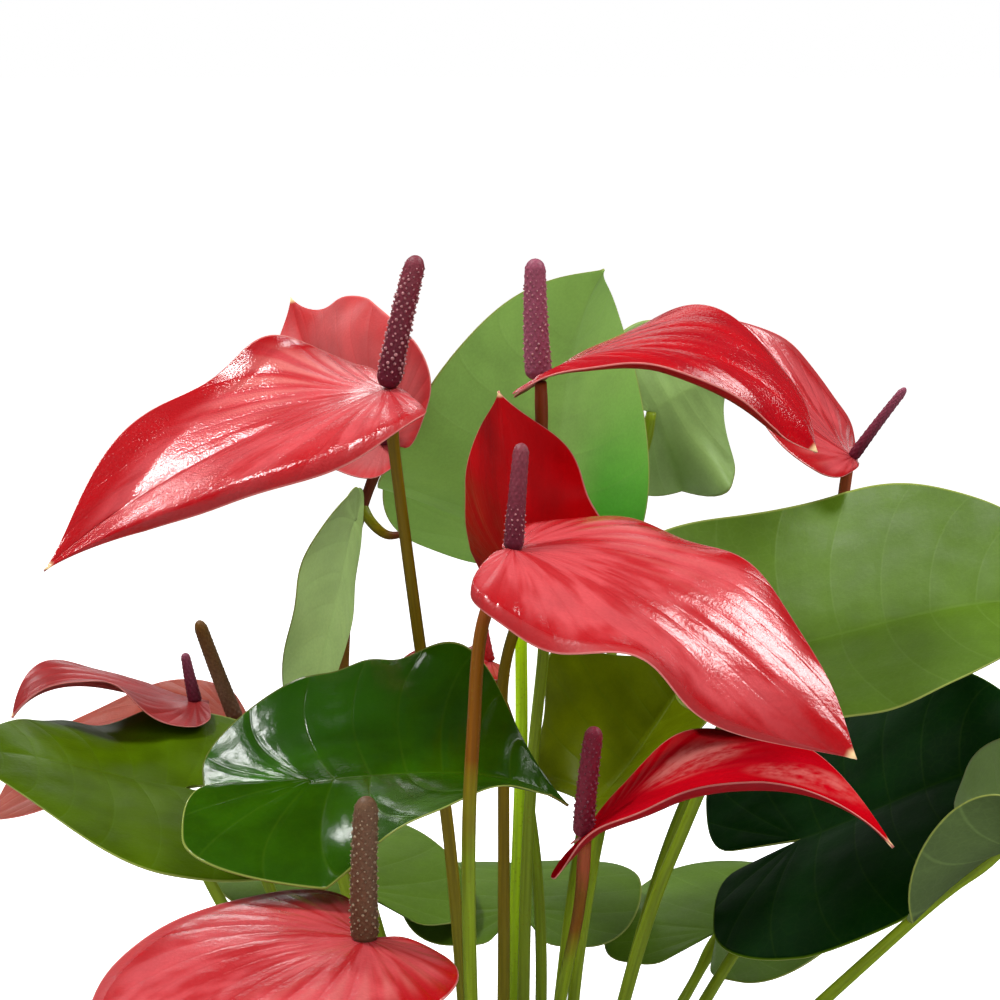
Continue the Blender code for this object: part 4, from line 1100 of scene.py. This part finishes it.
@made_once
def blade_finish(title, name):
    """Waxy leaf or spathe tissue: blotches, veins, swellings between them and a thin rim,
    with painted highlights and painted shade where a skin asks for them.
    """
    skin = SKINS[name]
    finish = Finish(title, {"Specular IOR Level": skin.gloss})
    number, gap = finish.pair("ribs")
    along, aside = finish.pair("flat")
    half, up = finish.pair("place")
    across = abs(half)

    def on_half(side, low, high):
        """Rises from the midrib on the left half, or on the right for a side below zero."""
        return (half * math.copysign(1, side)).rise(low, high)

    streaks = finish.noise(1 / MM, 3, 0.6, finish.vector(number * skin.grain, along / 34, aside / 60))
    to_rib = abs((number + 0.5).fraction() - 0.5) * gap
    vein = to_rib.near(0.12 * skin.vein_width, skin.vein_width) * gap.rise(0.8, 3.5)
    vein = vein.most(aside.near(0.3, 1.1 * skin.vein_width + 0.3))
    strength = along.near(8, 60) * 0.9 + 0.1 if skin.radiating else 1
    hollow = (to_rib.near(0, 2.2) * gap.rise(1, 4) * strength).most(aside.near(0, 2.6))
    tissue = finish.mottled(colour(skin.colour, skin.shade), colour(skin.colour), 16, 3, 0.35, 0.65)
    # Painted shade: darker red stripes along the veins, between the streaks of sheen.
    if skin.stripe:
        tissue = finish.mix(streaks.rise(0.44, 0.58) * skin.stripe, tissue, colour(skin.vein))
    # Painted highlight: pale ridges between the veins near the junction.
    if skin.ribbing:
        ridge = to_rib.rise(0.8, 2.4) * gap.rise(2, 5) * on_half(skin.ribbing, 0.05, 0.3)
        tissue = finish.mix(ridge * along.near(15, 55) * abs(skin.ribbing), tissue, colour("spathe_rim"))
    # Painted highlights: pale patches with streaky edges, painted where the blade would mirror a light.
    for side, start, off, forward, sideways, share in skin.bloom:
        spot = ((along - start) / forward) ** 2 + ((aside - off) / sideways) ** 2
        cloud = (streaks * 0.7 + finish.noise(2.5, 2) * 0.3).rise(0.38, 0.6)
        patch = spot.near(0, 1) * cloud * on_half(side, 0, 0.05)
        tissue = finish.mix(patch * share, tissue, colour("spathe_rim"))
    if skin.flush:
        flush = up.near(0.4, 0.75) * half.rise(0.05, 0.6) * finish.noise(30).rise(0.1, 0.5)
        tissue = finish.mix(flush * 0.85, tissue, colour(skin.flush))
    # Painted shade: deeper red towards the margins and the tip, and beyond a fold that leans towards the tip.
    painted_shade = (across + streaks * 0.4).rise(0.85, 1.15).most((up + streaks * 0.2).rise(0.85, 1.05))
    if skin.fold:
        side, start, off, forward, sideways, rate = skin.fold
        beyond = (along - start) * forward + (aside - off) * sideways
        folded = on_half(side, 0, 0.03)
        painted_shade = painted_shade.most(beyond.rise(1, 9) * folded * min(1, max(0, 2 * forward)))
    # The skin's edge share sets how much painted shade is mixed in.
    if skin.edge:
        tissue = finish.mix(painted_shade * skin.edge, tissue, colour(skin.vein))
    if skin.net:
        net = finish.cells(3.2, "DISTANCE_TO_EDGE").near(0.0, 0.09) * skin.net
        tissue = finish.mix(net, tissue, colour(skin.vein))
    fine = finish.noise(0.8, 1).rise(0.3, 0.7) * 0.07
    tissue = finish.scaled(tissue, fine + streaks.rise(0.3, 0.7) * 0.16 + 0.9)
    tissue = finish.mix(vein * skin.vein_share, tissue, colour(skin.vein))
    tissue = finish.mix(across.rise(0.982, 0.998), tissue, colour(skin.rim))
    if skin.radiating:
        tissue = finish.mix(up.rise(0.975, 0.99), tissue, colour("spathe_tip"))
    finish.feed("Base Color", tissue)
    rough = finish.noise(0.9, 2) * 0.1 + (skin.roughness - 0.05)
    if skin.dulled:
        rough = rough + across.rise(0.86, 0.94) * on_half(skin.dulled, 0, 0.1) * abs(skin.dulled)
    finish.feed("Roughness", rough)
    lumps = finish.noise(skin.pebble, 2, 0.55) * (3 * skin.swell)
    height = lumps + finish.noise(14, 1) * 0.8 + streaks * (2 * skin.streak)
    height = height - hollow * skin.vein_depth - vein * (0.4 * skin.vein_depth)
    if skin.fold:
        height = height + beyond * beyond.rise(-1, 4) * folded * rate
    finish.relief(height)
    return finish.material


@made_once
def rim_finish(title, name):
    """The cut edge of a blade."""
    finish = Finish(title, {"Roughness": 0.4, "Specular IOR Level": 0.3})
    finish.feed("Base Color", finish.mottled(colour(name, 0.8), colour(name), 3))
    finish.relief(finish.noise(0.8) * 0.05)
    return finish.material


@made_once
def stalk_finish(title, name):
    """A smooth stalk that turns from green to its top colour, with faint lengthwise streaks."""
    finish = Finish(title, {"Roughness": 0.38, "Specular IOR Level": 0.15})
    around, up = finish.pair("place")
    wander = (finish.noise(22) - 0.5) * 0.16 + up
    tissue = finish.ramp(wander, [(position, colour(tone)) for position, tone in STALKS[name]])
    streaks = finish.noise(1 / MM, vector=finish.vector(around * 14, up * 9))
    dots = finish.cells(1.4).near(0.12, 0.3)
    tissue = finish.scaled(tissue, streaks.rise(0.3, 0.7) * 0.3 + 0.82)
    finish.feed("Base Color", finish.mix(dots * 0.25, tissue, colour("stalk_olive")))
    finish.relief(streaks * 0.12 + dots * 0.04 + finish.noise(0.8) * 0.03)
    return finish.material


@made_once
def spike_finish(title, name):
    """The spadix's body: florets as small scales with dark grooves between them."""
    finish = Finish(title, {"Roughness": 0.5, "Specular IOR Level": 0.3})
    _, up = finish.pair("place")
    wander = (finish.noise(5) - 0.5) * 0.3 + up
    foot, tip = colour(SPIKES[name].foot), colour(SPIKES[name].tip)
    tissue = finish.ramp(wander, [(0.1, foot), (0.75, blended(foot, tip, 0.6)), (1, tip)])
    finish.feed("Base Color", finish.scaled(tissue, finish.noise(0.5, 2).rise(0.25, 0.75) * 0.4 + 0.78))
    finish.relief(finish.noise(0.35) * 0.08)
    return finish.material


@made_once
def bead_finish(title, name):
    """Small pale stigmas, a little moist."""
    finish = Finish(title, {"Roughness": 0.35, "Specular IOR Level": 0.4})
    finish.feed("Base Color", finish.mottled(colour(name, 0.6), colour(name), 0.9, 1, 0.35, 0.65))
    finish.relief(finish.noise(0.2) * 0.03)
    return finish.material


def pot_finish():
    """Matt white glaze with faint speckles and a slight unevenness."""
    finish = Finish("matt white glaze", {"Specular IOR Level": 0.4})
    specks = finish.cells(4.5).near(0.04, 0.09) * finish.noise(9).rise(0.5, 0.6)
    white = finish.mottled(colour("pot_white", 0.93), colour("pot_white"), 40, 3)
    finish.feed("Base Color", finish.mix(specks * 0.5, white, colour("pot_speck")))
    finish.feed("Roughness", finish.noise(7, 2) * 0.2 + 0.42)
    finish.relief(finish.noise(12, 2) * 0.25 + finish.noise(1.1) * 0.02)
    return finish.material


def earth_finish(title, light, dark, grain, rough):
    """Crumbly potting mix, bark or perlite."""
    finish = Finish(title, {"Specular IOR Level": 0.25})
    crumbs = finish.noise(grain, 5, 0.65)
    finish.feed("Base Color", finish.mix(crumbs.rise(0.3, 0.7), colour(dark), colour(light)))
    finish.feed("Roughness", finish.noise(2 * grain) * 0.2 + rough)
    finish.relief(crumbs * grain * 0.5 + finish.noise(0.5, 3) * 0.12)
    return finish.material


def add_object(name, data):
    """A new object in the scene."""
    made = bpy.data.objects.new(name, data)
    bpy.context.scene.collection.objects.link(made)
    return made


def add_piece(name, mesh, finishes, slot, nodes=()):
    """Put a mesh in the scene as a visible piece that rides on the plant."""
    for finish in finishes:
        mesh.materials.append(finish)
    piece = add_object(name, mesh)
    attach(piece, "root")
    if nodes:
        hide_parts(*nodes)


def add_blade(name, plant, ribs_of, quilt, rim, slot, node):
    """A spathe or the blade of a leaf."""
    sizes = settings()
    grid = (round(sizes.blade_rows * plant.detail), round(sizes.blade_columns * plant.detail))
    mesh = blade_mesh(name, plant, ribs_of, grid, sizes.blade_thickness, quilt)
    add_piece(name, mesh, [blade_finish(plant.look), blade_finish(plant.under), rim_finish(rim)], slot, [node])


def add_spathe(letter, flower):
    """A flower's waxy red bract."""
    quilt = (settings().spathe_quilt, SPATHE_FADE)
    slot = "spathe_pale" if flower.look == "salmon" else "spathe_red"
    add_blade("waxy_spathe_" + letter, flower, arching_ribs, quilt, "spathe_rim", slot, "spathe_" + letter)


def leaf_slot(leaf):
    """The slot name for a leaf's look."""
    return LEAF_SLOTS.get(leaf.look, "leaf_green")


def add_leaf(number, leaf):
    """A leaf's veined blade."""
    quilt = (settings().leaf_quilt, LEAF_FADE)
    name = f"veined_leaf_{number}"
    add_blade(name, leaf, feather_ribs, quilt, "leaf_rim", leaf_slot(leaf), f"leaf_{number}")


def add_spadix(letter, flower):
    """A flower's spike, with its stigmas."""
    spike = SPIKES[flower.beads]
    spacing = (settings().beads_round, settings().bead_step)
    mesh, curve, radii = spadix_mesh("spike_" + letter, flower, *spacing)
    add_piece("spike_" + letter, mesh, [spike_finish(flower.beads)], spike.slot, ["spadix_" + letter])
    if spike.size:
        mesh = beads_mesh("stigmas_" + letter, bead_places(curve, radii, spike, *spacing))
        add_piece("stigmas_" + letter, mesh, [bead_finish(spike.bead)], spike.slot)


def add_stalk(name, plant, sizes, slot, node):
    """A flower's or a leaf's stalk."""
    add_piece(name, stalk_mesh(name, plant, *sizes), [stalk_finish(plant.stalk)], slot, [node])


def add_side_shoot():
    """The young maroon shoot on the second flower's stalk."""
    curve = smooth_route(SIDE_SHOOT, 1)
    t = np.linspace(0, 1, len(curve))
    mesh = tube_mesh("side shoot", curve, 1.6 - 0.9 * t**3, 16)
    add_piece("side_shoot", mesh, [stalk_finish("maroon")], "peduncle_brown")


def rounded(corners, radius, steps=5):
    """A profile whose inner corners are rounded."""
    corners = np.array(corners, float)
    points = [corners[0]]
    for before, corner, after in zip(corners, corners[1:], corners[2:]):
        back, on = before - corner, after - corner
        reach = min(radius, 0.45 * np.linalg.norm(back), 0.45 * np.linalg.norm(on))
        start, end = corner + unit(back) * reach, corner + unit(on) * reach
        for t in np.linspace(0, 1, steps):
            points.append((1 - t) ** 2 * start + 2 * t * (1 - t) * corner + t**2 * end)
    return [*points, corners[-1]]


def level_ring(radius, height, sides):
    """Points of a ring about the pot's axis."""
    turns = np.linspace(0, 2 * math.pi, sides, endpoint=False)
    return np.stack([radius * np.cos(turns), radius * np.sin(turns), np.full(sides, height)], axis=-1)


def turned_over(faces):
    """The same faces seen from their other side."""
    return [[face[0], *face[:0:-1]] for face in faces]


def pot_radius(height):
    """The pot's outer radius below its rim band."""
    return POT_FOOT + (POT_RIM - POT_STEP - POT_FOOT) * height / POT_HEIGHT


def add_pot():
    """The plain tapered pot with its rim band."""
    band = POT_HEIGHT - POT_BAND
    corners = [
        (0, 0),
        (POT_FOOT, 0),
        (pot_radius(band), band),
        (POT_RIM, band + 0.4),
        (POT_RIM, POT_HEIGHT),
        (pot_radius(POT_HEIGHT) - POT_WALL, POT_HEIGHT),
        (pot_radius(POT_FLOOR) - POT_WALL, POT_FLOOR),
        (0, POT_FLOOR),
    ]
    sides = 128
    below, *rings, above = rounded(corners, POT_EDGE)
    points = [(0, *below)] + [level_ring(*ring, sides) for ring in rings] + [(0, *above)]
    mesh = new_mesh("pot", np.vstack(points), skin_faces(sides, len(rings)), 50)
    add_piece("tapered_pot", mesh, [pot_finish()], "pot_white", ["pot"])


def soil_height(x, y):
    """The soil's height, as the solid has it."""
    level = np.clip(np.hypot(x, y) / SOIL_LEVEL_RADIUS, 0, 1)
    return SOIL_TOP + SOIL_RELIEF * np.sin(SOIL_WAVE_X * x + SOIL_WAVE_START) * np.cos(SOIL_WAVE_Y * y) * level


def add_soil():
    """The potting mix: a closed crumbly body that fills the pot."""
    random = np.random.default_rng(SOIL_SEED)
    edge = pot_radius(SOIL_TOP - SOIL_RELIEF) - POT_WALL - GAP
    bottom = POT_FLOOR + 1
    points = [(0, 0, SOIL_TOP)]
    for i in range(1, SOIL_RINGS + 1):
        ring = level_ring(edge * i / SOIL_RINGS, 0, SOIL_SIDES)
        crumbs = random.normal(0, SOIL_CRUMBS, SOIL_SIDES)
        ring[:, 2] = soil_height(ring[:, 0], ring[:, 1]) + crumbs * (i < SOIL_RINGS)
        points.append(ring)
    points += [level_ring(pot_radius(bottom) - POT_WALL - GAP, bottom, SOIL_SIDES), (0, 0, bottom)]
    mesh = new_mesh("soil", np.vstack(points), turned_over(skin_faces(SOIL_SIDES, SOIL_RINGS + 1)))
    finish = earth_finish("potting mix", "soil_light", "soil_dark", 2.2, 0.7)
    add_piece("crumbly_soil", mesh, [finish], "soil_brown", ["soil"])


def scattered_mesh(name, count, size, seed):
    """Small angular lumps on the soil, clear of the stalks."""
    random = np.random.default_rng(seed)
    feet = [plant.soil for plant in (*FLOWERS.values(), *LEAVES.values())]
    build = bmesh.new()
    made = 0
    while made < count:
        radius, turn = SCATTER_RADIUS * math.sqrt(random.uniform()), random.uniform(0, 2 * math.pi)
        x, y = radius * math.cos(turn), radius * math.sin(turn)
        stretch = np.array(size) * random.uniform(0.6, 1.3)
        if min(math.hypot(x - a, y - b) for a, b in feet) < 3.2 + stretch[0]:
            continue
        spin = random.uniform(0, math.pi)
        tilt = random.uniform(-0.35, 0.35)
        base = soil_height(x, y) + 0.35 * stretch[2]
        corners = []
        for _ in range(12):
            way = unit(random.normal(size=3)) * stretch
            across = way[0] * math.cos(spin) - way[1] * math.sin(spin)
            forward = way[0] * math.sin(spin) + way[1] * math.cos(spin)
            point = np.array([x + across, y + forward, base + way[2] + tilt * across])
            corners.append(build.verts.new(point * MM))
        bmesh.ops.convex_hull(build, input=corners)
        bmesh.ops.delete(build, geom=[v for v in corners if not v.link_faces], context="VERTS")
        made += 1
    mesh = bpy.data.meshes.new(name)
    build.to_mesh(mesh)
    build.free()
    mesh.shade_smooth()
    mesh.set_sharp_from_angle(angle=math.radians(35))
    return mesh


def add_scatter():
    """Bark chips and grains of perlite."""
    sizes = settings()
    chips = scattered_mesh("bark", sizes.chip_count, *BARK)
    add_piece("bark_chips", chips, [earth_finish("bark", "bark_light", "soil_dark", 1.6, 0.65)], "soil_brown")
    grains = scattered_mesh("perlite", sizes.perlite_count, *PERLITE)
    finish = earth_finish("perlite", "perlite_white", "perlite_grey", 0.8, 0.75)
    add_piece("perlite", grains, [finish], "soil_brown")


def add_light(name, place, aim, size, radiance, mirrored):
    """A soft rectangular light of a given brightness, which glossy faces mirror or don't."""
    lamp = bpy.data.lights.new(name, "AREA")
    lamp.shape = "RECTANGLE"
    lamp.size, lamp.size_y = size
    lamp.energy = radiance * math.pi * size[0] * size[1]
    light = add_object(name, lamp)
    light.location = place
    light.rotation_euler = (Vector(place) - Vector(aim)).to_track_quat("Z", "Y").to_euler()
    light.visible_glossy = mirrored
    light.visible_camera = False


def add_floor():
    """A pale floor that glows with painted light: dimly near the pot, white further out."""
    sides = 96
    points = [(0, 0, 0)] + [level_ring(radius, 0, sides) for radius in FLOOR_RADII]
    faces = turned_over(skin_faces(sides, len(FLOOR_RADII), closed=False))
    mesh = new_mesh("floor", np.vstack(points), faces)
    finish = Finish("pale floor", {"Roughness": 0.8, "Specular IOR Level": 0.1, "Emission Strength": 1.0})
    split = finish.node("ShaderNodeSeparateXYZ", None, {0: finish.place()})
    radius = (split * split + split.output("Y") * split.output("Y")) ** 0.5
    far = radius.rise(0.25, 0.6)
    paper = finish.mottled((0.9, 0.9, 0.9), (0.95, 0.95, 0.95), 300)
    finish.feed("Base Color", finish.mix(far, colour("floor_pale"), paper))
    # Painted light: the floor glows, dimly near the pot and white further out.
    finish.feed("Emission Color", finish.mix(far, (0.3, 0.3, 0.3), (1.0, 1.0, 1.0)))
    mesh.materials.append(finish.material)
    floor = add_object("floor", mesh)
    floor.visible_glossy = False
    floor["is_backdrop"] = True


def add_world():
    """A dim room with a white band behind the floor's edge."""
    world = bpy.data.worlds.new("soft studio")
    world.use_nodes = True
    bpy.context.scene.world = world
    sky = Shading(world.node_tree, "Background", {"Strength": settings().sky_strength})
    way = sky.node("ShaderNodeTexCoord", output="Generated")
    height = sky.node("ShaderNodeSeparateXYZ", sockets={0: way}, output="Z") * 0.5 + 0.5
    sky.feed("Color", sky.ramp(height, [(position, (grey, grey, grey)) for position, grey in WORLD_STOPS]))


def add_camera():
    """The photograph's view."""
    data = bpy.data.cameras.new("photograph")
    data.lens = LENS
    data.sensor_width = SENSOR
    data.clip_start = 0.01
    camera = add_object("photograph", data)
    tilt = math.radians(CAMERA_TILT)
    camera.location = (0, -CAMERA_DISTANCE * math.cos(tilt), CAMERA_AIM + CAMERA_DISTANCE * math.sin(tilt))
    camera.rotation_euler = (math.radians(90 - CAMERA_TILT), 0, 0)
    bpy.context.scene.camera = camera


def tint(name, red, green, blue, description):
    """A colour setting whose default is given as it looks on a screen."""
    return FloatVectorProperty(
        name=name, description=description, subtype="COLOR", size=3, min=0, max=1, default=linear(red, green, blue)
    )


class AnthuriumSettings(bpy.types.PropertyGroup):
    """Sizes and colours of the potted anthurium."""

    blade_thickness: FloatProperty(
        name="Blade thickness", description="Thickness at the midrib in millimetres", default=0.8,
    )
    spathe_quilt: FloatProperty(
        name="Spathe ridges", description="Ridges near the junction in millimetres", default=0.45,
    )
    leaf_quilt: FloatProperty(
        name="Leaf quilting", description="Swelling between a leaf's veins in millimetres", default=0.12,
    )
    blade_rows: IntProperty(name="Blade rows", description="Rows of the finest half blades", default=120)
    blade_columns: IntProperty(
        name="Blade columns", description="Columns of the finest half blades", default=28,
    )
    bead_step: FloatProperty(
        name="Stigma spacing", description="Height of a row of stigmas in millimetres", default=1.15,
    )
    beads_round: IntProperty(name="Stigmas round", description="Stigmas in one ring of a spadix", default=9)
    chip_count: IntProperty(name="Bark chips", description="Number of bark chips on the soil", default=230)
    perlite_count: IntProperty(name="Perlite", description="Number of grains of perlite", default=90)
    sky_strength: FloatProperty(name="Sky", description="Strength of the light from all round", default=1.0)

    spathe_red: tint("Spathe", 184, 67, 71, "Upper face of the spathes")
    spathe_crimson: tint("Crimson spathe", 154, 4, 18, "The large arched spathe on the right")
    spathe_scarlet: tint("Scarlet spathe", 172, 6, 22, "The low arched spathe on the right")
    # Also the painted shade at the margins, tips and fold of the large spathes, and between their sheen streaks.
    spathe_dark: tint("Dark spathe", 146, 2, 9, "Margins and tips of the large spathes")
    spathe_soft: tint("Soft spathe", 170, 63, 63, "The spathe behind the first")
    # Also painted shade on some other spathes: their darker margins, tips and stripes.
    spathe_deep: tint("Deep spathe", 162, 1, 7, "The young cupped spathe and the spathes' veins")
    spathe_dull: tint("Dull spathe", 129, 37, 37, "The spathe furthest back")
    spathe_salmon: tint("Salmon spathe", 131, 48, 27, "The old paler spathe")
    spathe_under: tint("Spathe underside", 128, 8, 18, "Lower face of the spathes")
    # The spathes' thin margin, and also the colour of the painted highlights on their ridges and pale patches.
    spathe_rim: tint("Spathe margin", 190, 110, 104, "Thin margin of the spathes")
    spathe_tip: tint("Spathe tip", 222, 190, 140, "Withered point of the spathes")
    leaf_vivid: tint("Vivid leaf", 44, 140, 8, "Fresh green of the large leaf near its base")
    leaf_fresh: tint("Fresh leaf", 44, 96, 8, "Fresh green of the dark leaf near its base")
    leaf_bright: tint("Bright leaf", 126, 165, 76, "The large leaf in the middle")
    leaf_grey: tint("Grey leaf", 117, 143, 79, "The greyish leaves")
    leaf_pale: tint("Pale leaf", 148, 176, 105, "The leaf with the light behind it")
    leaf_dark: tint("Dark leaf", 33, 68, 1, "The glossy leaf at the front")
    leaf_olive: tint("Olive leaf", 62, 85, 1, "The olive leaves")
    leaf_lit: tint("Lit leaf", 88, 99, 1, "The olive leaf that the light shines through")
    leaf_mid: tint("Green leaf", 69, 96, 14, "The other leaves")
    # Painted shade: the leaf low on the right is coloured near black for the shadow of the leaf above.
    leaf_shade: tint("Shaded leaf", 2, 30, 1, "The dark leaf low on the right")
    leaf_under: tint("Leaf underside", 70, 88, 44, "Lower face of the leaves")
    leaf_vein: tint("Leaf veins", 120, 146, 76, "Veins of the leaves")
    leaf_rim: tint("Leaf margin", 126, 136, 62, "Thin margin of the leaves")
    stalk_green: tint("Stalk foot", 104, 122, 20, "Foot of the stalks")
    stalk_bright: tint("Leaf stalk", 109, 128, 21, "Top of the leaf stalks")
    stalk_lime: tint("Lime stalk", 157, 195, 5, "Stalk of the large leaf in the middle")
    stalk_olive: tint("Olive stalk", 106, 86, 3, "Middle of the flower stalks")
    stalk_brown: tint("Brown stalk", 104, 62, 10, "Upper part of the flower stalks")
    stalk_red: tint("Red stalk", 136, 62, 30, "Top of the flower stalks")
    stalk_maroon: tint("Maroon stalk", 88, 40, 22, "The shaded stalk and its side shoot")
    spike_plum: tint("Plum spadix", 84, 16, 35, "Body of the first spadices")
    spike_rose: tint("Rose spadix", 110, 44, 54, "Top of the first spadices")
    spike_mauve: tint("Mauve spadix", 126, 60, 79, "Body of the mauve spadices")
    spike_magenta: tint("Magenta spadix", 130, 36, 58, "Body of the lowest spadix")
    spike_brown: tint("Brown spadix", 94, 68, 48, "Body of the old spadix")
    spike_olive: tint("Olive spadix", 94, 61, 9, "Top of the smooth spadix")
    bead_pink: tint("Pink stigmas", 176, 122, 124, "Stigmas of the plum spadices")
    bead_rose: tint("Rose stigmas", 150, 84, 100, "Stigmas of the magenta spadix")
    bead_cream: tint("Cream stigmas", 150, 132, 106, "Stigmas of the brown spadix")
    pot_white: tint("Pot", 226, 224, 218, "Glaze of the pot")
    pot_speck: tint("Pot speckles", 176, 170, 160, "Faint speckles in the glaze")
    soil_light: tint("Soil crumbs", 82, 58, 40, "Light crumbs of the potting mix")
    soil_dark: tint("Soil", 34, 24, 18, "Dark of the potting mix")
    bark_light: tint("Bark", 112, 76, 48, "Faces of the bark chips")
    perlite_white: tint("Perlite", 226, 224, 216, "Faces of the perlite grains")
    perlite_grey: tint("Perlite hollows", 170, 166, 156, "Hollows of the perlite grains")
    floor_pale: tint("Floor", 165, 165, 163, "The floor under the pot")


class BuildSpathes(bpy.types.Operator):
    """Build the waxy red spathes"""

    bl_idname = "anthurium.spathes"
    bl_label = "Spathes"

    def execute(self, context):
        for letter, flower in FLOWERS.items():
            add_spathe(letter, flower)
        return {"FINISHED"}


class BuildSpadices(bpy.types.Operator):
    """Build the spadices with their stigmas"""

    bl_idname = "anthurium.spadices"
    bl_label = "Spadices"

    def execute(self, context):
        for letter, flower in FLOWERS.items():
            add_spadix(letter, flower)
        return {"FINISHED"}


class BuildFlowerStalks(bpy.types.Operator):
    """Build the flowers' stalks and the side shoot"""

    bl_idname = "anthurium.flower_stalks"
    bl_label = "Flower stalks"

    def execute(self, context):
        for letter, flower in FLOWERS.items():
            add_stalk("flower_stalk_" + letter, flower, FLOWER_STALK, "peduncle_brown", "peduncle_" + letter)
        add_side_shoot()
        return {"FINISHED"}


class BuildLeaves(bpy.types.Operator):
    """Build the veined leaf blades"""

    bl_idname = "anthurium.leaves"
    bl_label = "Leaves"

    def execute(self, context):
        for number, leaf in LEAVES.items():
            add_leaf(number, leaf)
        return {"FINISHED"}


class BuildLeafStalks(bpy.types.Operator):
    """Build the leaves' stalks"""

    bl_idname = "anthurium.leaf_stalks"
    bl_label = "Leaf stalks"

    def execute(self, context):
        for number, leaf in LEAVES.items():
            add_stalk(f"leaf_stalk_{number}", leaf, LEAF_STALK, leaf_slot(leaf), f"leaf_{number}")
        return {"FINISHED"}


class BuildPot(bpy.types.Operator):
    """Build the tapered white pot"""

    bl_idname = "anthurium.pot"
    bl_label = "Pot"

    def execute(self, context):
        add_pot()
        return {"FINISHED"}


class BuildSoil(bpy.types.Operator):
    """Build the potting mix with its bark and perlite"""

    bl_idname = "anthurium.soil"
    bl_label = "Soil"

    def execute(self, context):
        add_soil()
        add_scatter()
        return {"FINISHED"}


class BuildStage(bpy.types.Operator):
    """Set the pale floor, the soft lights and the camera"""

    bl_idname = "anthurium.stage"
    bl_label = "Stage"

    def execute(self, context):
        add_floor()
        add_world()
        for light in LIGHTS:
            add_light(*light)
        add_camera()
        context.scene.view_settings.view_transform = "Standard"
        return {"FINISHED"}


class AnthuriumPanel(bpy.types.Panel):
    """Settings and builders of the potted anthurium"""

    bl_label = "Potted Anthurium"
    bl_idname = "VIEW3D_PT_anthurium"
    bl_space_type = "VIEW_3D"
    bl_region_type = "UI"
    bl_category = "Anthurium"

    def draw(self, context):
        for operator in OPERATORS:
            self.layout.operator(operator.bl_idname)
        for name in AnthuriumSettings.__annotations__:
            self.layout.prop(context.scene.anthurium, name)


OPERATORS = (
    BuildSpathes,
    BuildSpadices,
    BuildFlowerStalks,
    BuildLeaves,
    BuildLeafStalks,
    BuildPot,
    BuildSoil,
    BuildStage,
)
CLASSES = (AnthuriumSettings, *OPERATORS, AnthuriumPanel)


def register():
    for cls in CLASSES:
        bpy.utils.register_class(cls)
    bpy.types.Scene.anthurium = PointerProperty(type=AnthuriumSettings)


def unregister():
    del bpy.types.Scene.anthurium
    for cls in reversed(CLASSES):
        bpy.utils.unregister_class(cls)


def main():
    register()
    bpy.ops.anthurium.spathes()
    bpy.ops.anthurium.spadices()
    bpy.ops.anthurium.flower_stalks()
    bpy.ops.anthurium.leaves()
    bpy.ops.anthurium.leaf_stalks()
    bpy.ops.anthurium.pot()
    bpy.ops.anthurium.soil()
    bpy.ops.anthurium.stage()
    boxes = {"cad": CAD_BOX, "visual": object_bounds()}
    sizes = {name: [[float(value) for value in corner] for corner in box] for name, box in boxes.items()}


if __name__ == "__main__":
    main()
